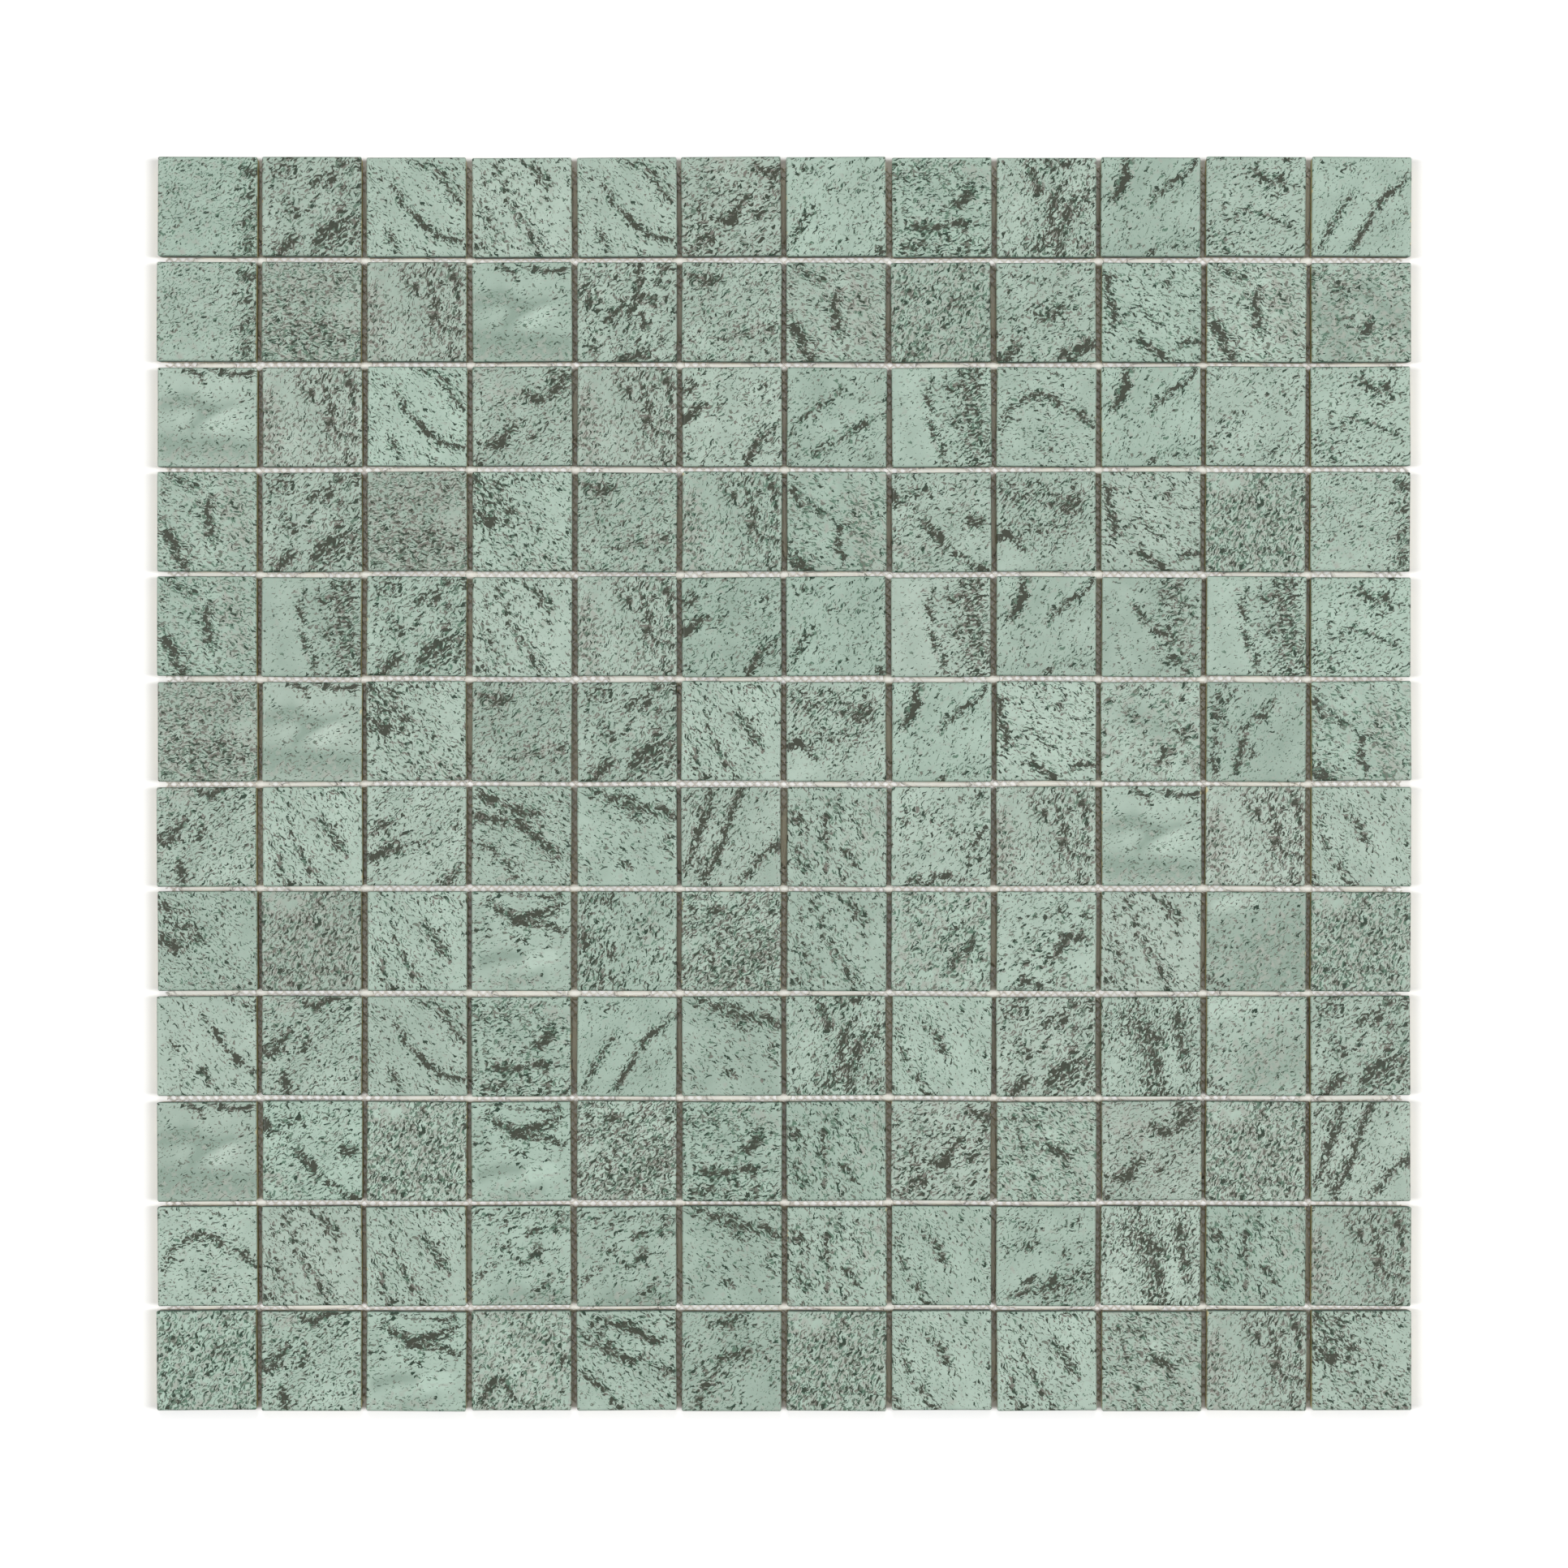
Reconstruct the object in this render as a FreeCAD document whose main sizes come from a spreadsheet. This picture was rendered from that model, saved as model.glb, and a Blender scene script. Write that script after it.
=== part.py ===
"""Mosaic tile sheet: square pressed tiles laid by hand on a backing net.

The sheet lies face up. Millimetres, +Z out of the glazed faces, origin at the centre of the net's underside.
Each row of tiles is one sub-part, made of separate solids, and the net that carries them all is another.
"""

import FreeCAD, Part
import math
import os
import Sketcher

# The driving dimensions: name, value and what it measures.
SIZES = (
    ("tiles_per_side", 12, "tiles along each side of the sheet"),
    ("tile_width", 23.7, "side of one tile at its widest, where the arris starts"),
    ("wall_height", 5.5, "upright wall of a tile, from its back to the arris"),
    ("joint_width", 1.3, "open joint between neighbouring tiles"),
    ("corner_cut", 0.4, "leg of the small cut on each upright corner"),
    ("wall_draft", 1.8, "degrees that the walls lean in towards the back"),
    ("arris_reach", 0.3, "how far the steep arris reaches in from the wall"),
    ("arris_rise", 0.38, "how far the steep arris rises"),
    ("ease_reach", 0.5, "how far the eased face edge reaches in from the arris"),
    ("ease_rise", 0.12, "how far the eased face edge rises to the face"),
    ("key_count", 2, "grooves pressed across each tile's back"),
    ("key_width", 3.6, "width of one back groove"),
    ("key_depth", 0.45, "depth of one back groove"),
    ("key_spacing", 8.4, "from one back groove's centre to the next"),
    ("net_thickness", 0.4, "the backing net with its glue, pressed flat"),
    ("net_inset", 1.0, "how far the net's cut edge stays inside the outer tiles"),
    ("peek_reach", 0.6, "how far the net shows past the tiles at one place"),
    ("peek_start", 70.0, "lower end of that place, above the sheet's middle"),
    ("peek_length", 16.4, "length of the net that shows there"),
    ("slip", 0.14, "largest slip of a laid tile from its place in the grid"),
    ("twist", 0.45, "largest turn of a laid tile, in degrees"),
)
# Sizes that follow from them, worked out in the spreadsheet itself.
DERIVED = (
    ("tile_pitch", "=tile_width + joint_width", "one tile's centre to the next"),
    ("field_width", "=tiles_per_side * tile_pitch - joint_width", "all tiles, edge to edge"),
)
CUT_PAST = 2.0  # how far a cutting profile runs on past the tile
HAND_RHYTHM = (2.3, 3.9)  # steps of the wave that slips and turns the tiles, down and across


def make_sizes(doc):
    """The spreadsheet that every sketch, feature and placement reads."""
    sheet = doc.addObject("Spreadsheet::Sheet", "Sizes")
    for line, (alias, value, meaning) in enumerate(SIZES + DERIVED, start=1):
        sheet.set(f"A{line}", meaning)
        sheet.set(f"B{line}", str(value))
        sheet.setAlias(f"B{line}", alias)
    doc.recompute()
    return sheet


def origin_part(body, role):
    """A plane or axis of the body's own origin."""
    return next(part for part in body.Origin.OriginFeatures if part.Role == role)


def add_sketch(body, name, height=None):
    """A sketch on the body's own horizontal plane, raised by a formula if one is given."""
    sketch = body.newObject("Sketcher::SketchObject", name)
    sketch.AttachmentSupport = (origin_part(body, "XY_Plane"), "")
    sketch.MapMode = "FlatFace"
    if height:
        sketch.setExpression("AttachmentOffset.Base.z", height)
    return sketch


def draw_outline(sketch, corners):
    """A closed outline of straight edges. Each corner is a pair of formulas, and its edge starts there."""
    count = len(corners)
    for edge in range(count):
        turn = 2 * math.pi * edge / count
        here = FreeCAD.Vector(math.cos(turn), math.sin(turn), 0)
        turn = 2 * math.pi * (edge + 1) / count
        there = FreeCAD.Vector(math.cos(turn), math.sin(turn), 0)
        sketch.addGeometry(Part.LineSegment(here, there), False)
    for edge in range(count):
        sketch.addConstraint(Sketcher.Constraint("Coincident", edge, 2, (edge + 1) % count, 1))
    for edge, formulas in enumerate(corners):
        for kind, formula in zip(("DistanceX", "DistanceY"), formulas):
            held = sketch.addConstraint(Sketcher.Constraint(kind, -1, 1, edge, 1, 1.0))
            sketch.setExpression(f"Constraints[{held}]", formula)


def cut_square(half, cut):
    """The eight corners of a square with its corners cut off, anticlockwise, as formulas."""
    near = f"({half} - {cut})"
    return (
        (f"-{near}", f"-{half}"),
        (near, f"-{half}"),
        (half, f"-{near}"),
        (half, near),
        (near, half),
        (f"-{near}", half),
        (f"-{half}", near),
        (f"-{half}", f"-{near}"),
    )


def face_at(shape, height):
    """The name of the flat face that lies at this height."""
    for number, face in enumerate(shape.Faces, start=1):
        if abs(face.BoundBox.ZMin - height) < 1e-6 and abs(face.BoundBox.ZMax - height) < 1e-6:
            return f"Face{number}"
    raise RuntimeError(f"no flat face at {height}")


def add_pad(body, name, profile, length, taper):
    """A pad whose length and taper are formulas."""
    pad = body.newObject("PartDesign::Pad", name)
    pad.Profile = profile
    pad.setExpression("Length", length)
    pad.setExpression("TaperAngle", taper)
    return pad


def make_tile(doc, sizes):
    """One pressed tile with its back on the ground: drafted walls, an eased face edge and a keyed back."""
    tile = doc.addObject("PartDesign::Body", "tile")
    outline = add_sketch(tile, "outline", "Sizes.wall_height")
    draw_outline(outline, cut_square("(Sizes.tile_width / 2)", "Sizes.corner_cut"))
    walls = add_pad(tile, "walls", outline, "Sizes.wall_height", "-Sizes.wall_draft")
    walls.Reversed = True
    doc.recompute()

    top = (walls, [face_at(walls.Shape, sizes.wall_height)])
    arris = add_pad(
        tile, "arris", top, "Sizes.arris_rise", "-atan(Sizes.arris_reach / Sizes.arris_rise)"
    )
    doc.recompute()
    top = (arris, [face_at(arris.Shape, sizes.wall_height + sizes.arris_rise)])
    add_pad(
        tile, "eased_face", top, "Sizes.ease_rise", "-atan(Sizes.ease_reach / Sizes.ease_rise)"
    )
    doc.recompute()

    first_key = "(Sizes.key_spacing * (Sizes.key_count - 1) / 2)"
    low = f"(-{first_key} - Sizes.key_width / 2)"
    high = f"(-{first_key} + Sizes.key_width / 2)"
    past = f"(Sizes.tile_width / 2 + {CUT_PAST})"
    key_profile = add_sketch(tile, "key_profile")
    draw_outline(
        key_profile, ((low, f"-{past}"), (high, f"-{past}"), (high, past), (low, past))
    )
    key = tile.newObject("PartDesign::Pocket", "key")
    key.Profile = key_profile
    key.setExpression("Length", "Sizes.key_depth")
    key.Reversed = True
    doc.recompute()
    keys = tile.newObject("PartDesign::LinearPattern", "keys")
    keys.Originals = [key]
    keys.Direction = (key_profile, ["H_Axis"])
    keys.setExpression("Length", "Sizes.key_spacing * (Sizes.key_count - 1)")
    keys.setExpression("Occurrences", "Sizes.key_count")
    tile.Tip = keys
    doc.recompute()
    return tile


def hand(row, column, beat):
    """How a hand strays at one place of the sheet, from -1 to 1, the same each time."""
    down, across = HAND_RHYTHM
    return round(math.sin(down * row + across * column + beat * (row + 1) * (column + 2)), 3)


def lay_tile(doc, tile, row, column):
    """A copy of the tile in its place on the net, with the small slip and turn of a laid sheet."""
    laid = doc.addObject("App::Link", f"tile_{row + 1:02d}_{column + 1:02d}")
    laid.LinkedObject = tile
    middle = "(Sizes.tiles_per_side - 1) / 2"
    across = f"({column} - {middle}) * Sizes.tile_pitch"
    down = f"({middle} - {row}) * Sizes.tile_pitch"
    laid.setExpression("Placement.Base.x", f"{across} + Sizes.slip * {hand(row, column, 0.7)}")
    laid.setExpression("Placement.Base.y", f"{down} + Sizes.slip * {hand(row, column, 1.1)}")
    laid.setExpression("Placement.Base.z", "Sizes.net_thickness")
    laid.setExpression("Placement.Rotation.Angle", f"Sizes.twist * {hand(row, column, 1.9)}")
    return laid


def make_row(doc, tile, row, count):
    """One row of tiles, counted from the top of the sheet, as one object of separate solids."""
    line = doc.addObject("Part::Compound", f"tile_row_{row + 1:02d}")
    line.Links = [lay_tile(doc, tile, row, column) for column in range(count)]
    return line


def make_net(doc):
    """The backing net under all the tiles, with the place where its cut edge shows on the right."""
    net = doc.addObject("PartDesign::Body", "backing_net")
    inner = "(Sizes.field_width / 2 - Sizes.net_inset)"
    outer = "(Sizes.field_width / 2 + Sizes.peek_reach)"
    low = "Sizes.peek_start"
    high = "(Sizes.peek_start + Sizes.peek_length)"
    step = "(Sizes.net_inset + Sizes.peek_reach)"
    cut_edge = add_sketch(net, "cut_edge")
    draw_outline(
        cut_edge,
        (
            (f"-{inner}", f"-{inner}"),
            (inner, f"-{inner}"),
            (inner, f"({low} - {step})"),
            (outer, low),
            (outer, high),
            (inner, f"({high} + {step})"),
            (inner, inner),
            (f"-{inner}", inner),
        ),
    )
    add_pad(net, "pressed_net", cut_edge, "Sizes.net_thickness", "0")
    return net


def check(doc, sub_parts):
    """Stops if anything failed to build."""
    failed = [o.Label for o in doc.Objects if "Invalid" in o.State or "Error" in o.State]
    unsound = [o.Label for o in sub_parts if o.Shape.isNull() or not o.Shape.isValid()]
    if failed or unsound:
        raise RuntimeError(f"failed: {failed}, unsound: {unsound}")


def main():
    doc = FreeCAD.newDocument("mosaic_sheet")
    sizes = make_sizes(doc)
    tile = make_tile(doc, sizes)
    count = int(sizes.tiles_per_side)
    rows = [make_row(doc, tile, row, count) for row in range(count)]
    sub_parts = rows + [make_net(doc)]
    doc.recompute()
    check(doc, sub_parts)
    os.makedirs("parts", exist_ok=True)
    for sub_part in sub_parts:
        sub_part.Shape.exportStep(os.path.join("parts", f"{sub_part.Label}.step"))


main()
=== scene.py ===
"""Mosaic tile sheet: glazed stone-look tiles, the net that carries them, its glue, and a plain stage.

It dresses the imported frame. It is laid out as an add-on and run as a script.
"""

import math
from collections import namedtuple

import bpy
import numpy as np
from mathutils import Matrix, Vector


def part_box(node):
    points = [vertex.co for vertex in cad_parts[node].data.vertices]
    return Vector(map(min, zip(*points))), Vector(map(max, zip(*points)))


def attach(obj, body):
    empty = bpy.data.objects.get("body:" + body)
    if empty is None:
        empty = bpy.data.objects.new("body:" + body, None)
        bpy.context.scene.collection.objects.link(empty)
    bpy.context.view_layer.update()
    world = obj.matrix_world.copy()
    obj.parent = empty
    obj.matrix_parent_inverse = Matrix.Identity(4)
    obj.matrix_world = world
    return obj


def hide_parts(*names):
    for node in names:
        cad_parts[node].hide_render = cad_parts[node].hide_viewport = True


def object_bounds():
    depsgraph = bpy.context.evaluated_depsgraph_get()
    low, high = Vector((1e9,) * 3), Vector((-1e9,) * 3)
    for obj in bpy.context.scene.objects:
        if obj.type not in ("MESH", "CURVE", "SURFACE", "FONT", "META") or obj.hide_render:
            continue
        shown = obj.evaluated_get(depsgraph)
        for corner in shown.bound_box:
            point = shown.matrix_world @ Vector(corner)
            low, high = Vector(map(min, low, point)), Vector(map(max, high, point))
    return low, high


bl_info = {
    "name": "Mosaic tile sheet",
    "version": (1, 0, 0),
    "blender": (4, 5, 0),
    "location": "3D View > Sidebar > Mosaic",
    "description": "Builds a sheet of stone-look mosaic tiles on its backing net",
    "category": "Add Mesh",
}

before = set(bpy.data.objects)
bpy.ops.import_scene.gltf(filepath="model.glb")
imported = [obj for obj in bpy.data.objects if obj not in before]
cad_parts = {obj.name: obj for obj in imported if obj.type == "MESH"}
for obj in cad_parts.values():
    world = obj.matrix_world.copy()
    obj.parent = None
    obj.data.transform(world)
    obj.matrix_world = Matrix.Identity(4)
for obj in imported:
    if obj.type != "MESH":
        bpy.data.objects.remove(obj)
CAD_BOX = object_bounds()
MM = 0.001
ROWS = sorted(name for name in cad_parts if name.startswith("tile_row"))
NET = "backing_net"
TINY = 0.01 * MM  # too small a gap to see, between what would otherwise share a surface
FRAME_SIDE = 0.3736  # metres that the photograph's width covers at the tiles' faces
SEED = 25  # each kind of piece draws from a seed of its own, counted on from this one
MIX_UNDER, MIX_OVER, MIX_OUT = 6, 7, 2  # a colour Mix node's sockets: lower colour, upper colour, result


def linear(text):
    """An sRGB colour written as #RRGGBB, as linear red, green and blue."""
    parts = np.array([int(text[i:i + 2], 16) for i in (1, 3, 5)]) / 255
    return tuple(np.where(parts <= 0.04045, parts / 12.92, ((parts + 0.055) / 1.055) ** 2.4))


def colour(name, description, text):
    """A colour property with its default written as #RRGGBB."""
    return bpy.props.FloatVectorProperty(
        name=name, description=description, subtype="COLOR", size=3, min=0, max=1,
        default=linear(text),
    )


def length(name, description, millimetres):
    """A length property with its default written in millimetres."""
    return bpy.props.FloatProperty(
        name=name, description=description, unit="LENGTH", precision=5,
        default=millimetres * MM,
    )


class TileSettings(bpy.types.PropertyGroup):
    """Sizes and colours of the pressed and glazed tiles."""

    face_cells: bpy.props.IntProperty(
        name="Face cells", description="Cells of the grid across the flat of a face",
        default=30, min=8, max=64,
    )
    edge_reach: length("Edge reach", "How far the rounded edge reaches into the face", 0.8)
    edge_drop: length("Edge drop", "How far the face falls to the arris at its rim", 0.4)
    corner_radius: length("Corner radius", "Radius of the tile's upright corners", 0.42)
    wall_draft: bpy.props.FloatProperty(
        name="Wall draft", description="How far the walls lean in towards the back",
        subtype="ANGLE", default=math.radians(1.8),
    )
    face_relief: length("Face relief", "Depth of the soft hollows in the face", 0.07)
    key_depth: length("Key depth", "Depth of the two grooves pressed across the back", 0.45)
    key_width: length("Key width", "Width of one groove", 3.6)
    key_spacing: length("Key spacing", "From one groove's middle to the other's", 8.4)
    print_scatter: length("Print scatter", "How far a print strays on its tile", 0.5)
    # On left and right, which face the lamps, the painted shade along the rim keeps this much nearer the
    # edge.
    lit_side_rim: length("Side rim", "How much nearer the edge the glaze darkens on left and right", 0.15)
    ground: colour("Ground", "Clean mint glaze of the greenest tiles", "#B4CEBE")
    warm_ground: colour("Warm ground", "Clean mint glaze of the warmest tiles", "#BECCC0")
    ground_deep: colour("Deep ground", "Mint glaze where it lies thicker", "#90A597")
    haze: colour("Haze", "Grey veil of the print", "#A9B0A5")
    fleck: colour("Fleck", "Half-dark green flecks of the print", "#5F7D6A")
    warm_fleck: colour("Warm fleck", "Half-dark warm grey flecks of the print", "#78766D")
    speck: colour("Speck", "Dark green grains of the print", "#293F31")
    vein: colour("Vein", "Brown-grey veins, blots and grains of the print", "#42463A")
    # Glaze pooled over the arris and down the walls, dark enough to be painted shade there as well.
    rim_glaze_and_shade: colour("Wall glaze", "Glaze pooled over the arris and the walls", "#4C6A5B")
    body: colour("Body", "Unglazed fired body on the walls and back", "#D8CFA3")


class NetSettings(bpy.types.PropertyGroup):
    """Sizes and colours of the backing net and its glue."""

    yarn_spacing: length("Yarn spacing", "From one yarn to the next, square to them", 1.435)
    yarn_width: length("Yarn width", "Width of one flat yarn", 0.33)
    yarn_height: length("Yarn height", "Thickness of one flat yarn", 0.19)
    run: length("Run", "Length of yarn from one bend to the next", 11.0)
    dab_height: length("Dab height", "Height of a dab of glue where four tiles meet", 0.7)
    yarn: colour("Yarn", "Glass fibre yarn soaked in glue", "#E8E2DA")
    glue: colour("Glue", "Dried white glue", "#F3F3EC")


class StageSettings(bpy.types.PropertyGroup):
    """The camera, the lamps and the floor."""

    distance: bpy.props.FloatProperty(
        name="Camera distance", description="From the camera to the tiles' faces",
        unit="LENGTH", default=1.25,
    )
    side_lamps: bpy.props.FloatProperty(
        name="Side lamps", description="Light from left and right on level faces, of 1 in all",
        default=0.79,
    )
    top_lamp: bpy.props.FloatProperty(
        name="Top lamp", description="Light from the far side on level faces, of 1 in all",
        default=0.1,
    )
    room: bpy.props.FloatProperty(
        name="Room light", description="Even light from all around, of 1 in all", default=0.15,
    )
    floor: colour("Floor", "Plain pale floor", "#E6E6E4")
    # A painted glow that the camera sees on the floor beside the sheet, which lifts most of the sheet's
    # shadow there.
    floor_glow_over_shadow: bpy.props.FloatProperty(
        name="Floor lift", description="What the camera sees added to the floor, so that it is white",
        default=0.2,
    )


Print = namedtuple("Print", "flow cover haze strokes")
Stroke = namedtuple("Stroke", "kind reach gain points")


def vein(*points):
    """A solid dark line through points (x, y, half width in mm), placed in shares of a tile."""
    return Stroke("vein", 0, 0, points)


def blot(x, y, half_width):
    """A round dark spot."""
    return vein((x, y, half_width), (x, y, half_width))


def band(reach, gain, *points):
    """A run of denser grains (or, with a gain below 0, of fewer) that fades out over its reach in mm."""
    return Stroke("cover", reach, gain, points)


def veil(reach, gain, *points):
    """A run of grey haze that fades out over its reach in mm."""
    return Stroke("haze", reach, gain, points)


def wash(reach, gain, *points):
    """A run of lighter or, with a gain below 0, darker glaze that fades out over its reach in mm."""
    return Stroke("tone", reach, gain, points)


def moved(source, right, down, *more, cover=None):
    """The same print laid further right and down, in shares of a tile, with more strokes, and with a
    cover of its own where one is given."""
    strokes = tuple(
        stroke._replace(points=tuple((x + right, y + down, *rest) for x, y, *rest in stroke.points))
        for stroke in source.strokes
    )
    return source._replace(strokes=strokes + more, cover=source.cover if cover is None else cover)


# The stone look recurs in some sixty prints. Places run from 0 to 1 across the tile and from 0 to 1
# down it. flow is the slope of the grains in degrees, cover is how many there are and haze how grey
# the ground is.
SCATTER = Print(35, 0.30, 0.35, (
    band(2.6, 0.2, (0.96, 0.1), (0.95, 0.6), (0.9, 0.98)),
    band(4.0, -0.18, (0.15, 0.95), (0.5, 0.9)),
    vein((0.88, 0.12, 0.35), (0.95, 0.17, 0.5)),
    blot(0.9, 0.4, 0.35),
    vein((0.87, 0.65, 0.4), (0.88, 0.7, 0.35)),
    vein((0.93, 0.85, 0.3), (0.93, 0.97, 0.35)),
    blot(0.15, 0.34, 0.3),
))
KNOTS = Print(42, 0.36, 0.15, (
    vein((0.68, 0.16, 0.4), (0.7, 0.2, 0.9), (0.66, 0.26, 0.2)),
    vein((0.84, 0.26, 0.5), (0.84, 0.33, 0.7)),
    band(1.4, 0.35, (0.78, 0.05), (0.95, 0.1)),
    band(1.4, 0.32, (0.12, 0.15), (0.2, 0.03), (0.3, 0.12)),
    vein((0.5, 0.3, 0.35), (0.56, 0.22, 0.3), (0.62, 0.15, 0.35)),
    band(1.1, 0.3, (0.27, 0.52), (0.36, 0.6)),
    blot(0.78, 0.52, 0.4),
    vein((0.27, 0.8, 0.35), (0.26, 0.88, 0.4), (0.15, 0.97, 0.3)),
    band(1.3, 0.35, (0.08, 1.0), (0.27, 0.84)),
    vein((0.5, 0.85, 0.2), (0.62, 0.72, 0.4), (0.9, 0.6, 0.35)),
    band(3.2, 0.26, (0.5, 0.92), (0.72, 0.76), (0.92, 0.72)),
    band(1.0, -0.2, (0.4, 0.95), (0.44, 0.7)),
))
SNAKE = Print(-42, 0.23, 0.1, (
    vein((0.1, 0.1, 0.15), (0.22, 0.2, 0.35), (0.3, 0.3, 0.45), (0.37, 0.36, 0.8), (0.38, 0.45, 0.6),
         (0.46, 0.54, 0.45), (0.55, 0.6, 0.6), (0.57, 0.66, 0.9), (0.66, 0.72, 0.5), (0.78, 0.79, 0.45),
         (0.9, 0.81, 0.6), (0.98, 0.84, 0.45)),
    band(1.1, 0.36, (0.48, 0.03), (0.65, 0.1)),
    band(1.1, 0.36, (0.75, 0.12), (0.85, 0.3), (0.92, 0.42)),
    band(2.6, 0.16, (0.7, 0.1), (0.95, 0.35)),
    blot(0.88, 0.06, 0.4),
    vein((0.24, 0.75, 0.2), (0.29, 0.85, 0.35)),
    band(1.2, 0.3, (0.22, 0.72), (0.35, 0.92)),
    band(1.2, 0.28, (0.55, 0.9), (0.7, 0.97)),
    band(1.8, 0.14, (0.06, 0.15), (0.05, 0.9)),
))
STEPS = Print(-52, 0.3, 0.15, (
    vein((0.1, 0.2, 0.3), (0.13, 0.28, 0.5)),
    vein((0.62, 0.13, 0.15), (0.7, 0.24, 0.25)),
    blot(0.73, 0.31, 0.5),
    band(1.3, 0.24, (0.52, 0.02), (0.63, 0.14), (0.8, 0.42)),
    band(1.3, 0.24, (0.32, 0.35), (0.5, 0.65), (0.68, 0.92)),
    blot(0.45, 0.58, 0.25),
    blot(0.6, 0.79, 0.45),
    vein((0.03, 0.82, 0.3), (0.1, 0.9, 0.6)),
    band(1.2, 0.26, (0.1, 0.5), (0.25, 0.8)),
    band(1.2, 0.24, (0.25, 0.08), (0.32, 0.34)),
    band(2.4, -0.2, (0.9, 0.35), (0.85, 0.75)),
))
CLOUD = Print(8, 0.355, 0.7, (
    band(2.6, 0.16, (0.3, 0.7), (0.95, 0.78)),
    band(2.0, 0.14, (0.1, 0.75), (0.5, 0.95)),
    vein((0.58, 0.61, 0.2), (0.64, 0.63, 0.5)),
    band(2.0, -0.2, (0.8, 0.42), (0.98, 0.47)),
    wash(3.0, -0.25, (0.2, 0.3), (0.7, 0.35)),
))
THICKET = Print(62, 0.27, 0.35, (
    band(5.0, 0.2, (0.7, 0.05), (0.8, 0.9)),
    vein((0.35, 0.09, 0.25), (0.37, 0.12, 0.25)),
    vein((0.45, 0.17, 0.25), (0.5, 0.25, 0.35)),
    blot(0.62, 0.15, 0.35),
    band(1.1, 0.2, (0.35, 0.08), (0.5, 0.26)),
    vein((0.65, 0.3, 0.15), (0.7, 0.4, 0.2), (0.68, 0.58, 0.1)),
    band(0.9, 0.16, (0.58, 0.1), (0.7, 0.38), (0.68, 0.6)),
    vein((0.87, 0.13, 0.2), (0.93, 0.2, 0.4)),
    blot(0.92, 0.54, 0.3),
    band(1.2, 0.2, (0.84, 0.08), (0.95, 0.26), (0.92, 0.56)),
    band(1.6, -0.12, (0.26, 0.1), (0.22, 0.9)),
    band(1.2, 0.14, (0.12, 0.1), (0.12, 0.9)),
    veil(2.6, 0.6, (0.08, 0.3), (0.1, 0.9)),
))
POOL = Print(20, 0.13, 0.1, (
    vein((0.35, 0.05, 0.3), (0.42, 0.08, 0.3), (0.47, 0.15, 0.5)),
    vein((0.55, 0.02, 0.3), (0.75, 0.08, 0.4), (0.86, 0.06, 0.3), (0.95, 0.05, 0.5)),
    band(1.2, 0.36, (0.3, 0.02), (0.48, 0.14)),
    band(1.1, 0.34, (0.52, 0.02), (0.75, 0.08), (1.0, 0.04)),
    band(1.3, 0.25, (0.93, 0.1), (0.93, 0.3)),
    wash(2.0, -0.8, (0.05, 0.38), (0.3, 0.33), (0.5, 0.42)),
    wash(1.3, -0.6, (0.35, 0.6), (0.5, 0.46), (0.75, 0.38)),
    wash(2.0, 0.8, (0.6, 0.6), (0.74, 0.48)),
    wash(3.5, -0.8, (0.1, 0.78), (0.9, 0.82)),
    veil(3.0, 0.5, (0.1, 0.85), (0.9, 0.9)),
    veil(1.5, 0.4, (0.05, 0.38), (0.3, 0.33), (0.5, 0.42)),
))
HOOK_LINE = (
    vein((0.53, 0.26, 0.4), (0.58, 0.3, 0.4), (0.66, 0.34, 0.6), (0.73, 0.31, 0.5), (0.8, 0.25, 0.45),
         (0.86, 0.2, 0.55)),
    vein((0.15, 0.78, 0.7), (0.22, 0.82, 0.6), (0.28, 0.77, 0.9), (0.3, 0.7, 0.4), (0.34, 0.64, 0.3),
         (0.4, 0.6, 0.35)),
    band(1.3, 0.24, (0.5, 0.24), (0.66, 0.33), (0.86, 0.2)),
    band(1.3, 0.24, (0.12, 0.78), (0.3, 0.7), (0.4, 0.58)),
)
HOOK_TANGLE = (
    vein((0.9, 0.12, 0.6), (0.93, 0.05, 0.4)),
    vein((0.8, 0.1, 0.35), (0.78, 0.03, 0.3)),
    band(2.0, 0.26, (0.8, 0.08), (0.95, 0.2)),
)
HOOK = Print(32, 0.34, 0.2, HOOK_LINE + HOOK_TANGLE + (
    vein((0.05, 0.93, 0.5), (0.07, 0.98, 0.6)),
    band(2.6, 0.12, (0.5, 0.7), (0.9, 0.45)),
    band(2.8, -0.25, (0.1, 0.12), (0.4, 0.2)),
    veil(3.5, 0.6, (0.1, 0.1), (0.4, 0.3)),
    blot(0.57, 0.72, 0.4),
))
BARE_HOOK = Print(32, 0.33, 0.2, HOOK_LINE)
SQUIGGLE = Print(-20, 0.29, 0.4, (
    vein((0.54, 0.3, 0.4), (0.48, 0.38, 0.6), (0.49, 0.48, 0.6), (0.56, 0.6, 0.5), (0.5, 0.75, 0.25)),
    blot(0.78, 0.4, 0.35),
    vein((0.1, 0.65, 1.0), (0.18, 0.75, 0.8)),
    vein((0.18, 0.85, 0.3), (0.27, 0.98, 0.6)),
    band(2.0, 0.3, (0.02, 0.5), (0.12, 0.7), (0.25, 0.92)),
    band(1.1, 0.3, (0.1, 0.03), (0.2, 0.1), (0.38, 0.18)),
    band(1.1, 0.2, (0.54, 0.28), (0.5, 0.5), (0.55, 0.66)),
    veil(3.5, 0.5, (0.7, 0.1), (0.85, 0.7)),
))
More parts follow.
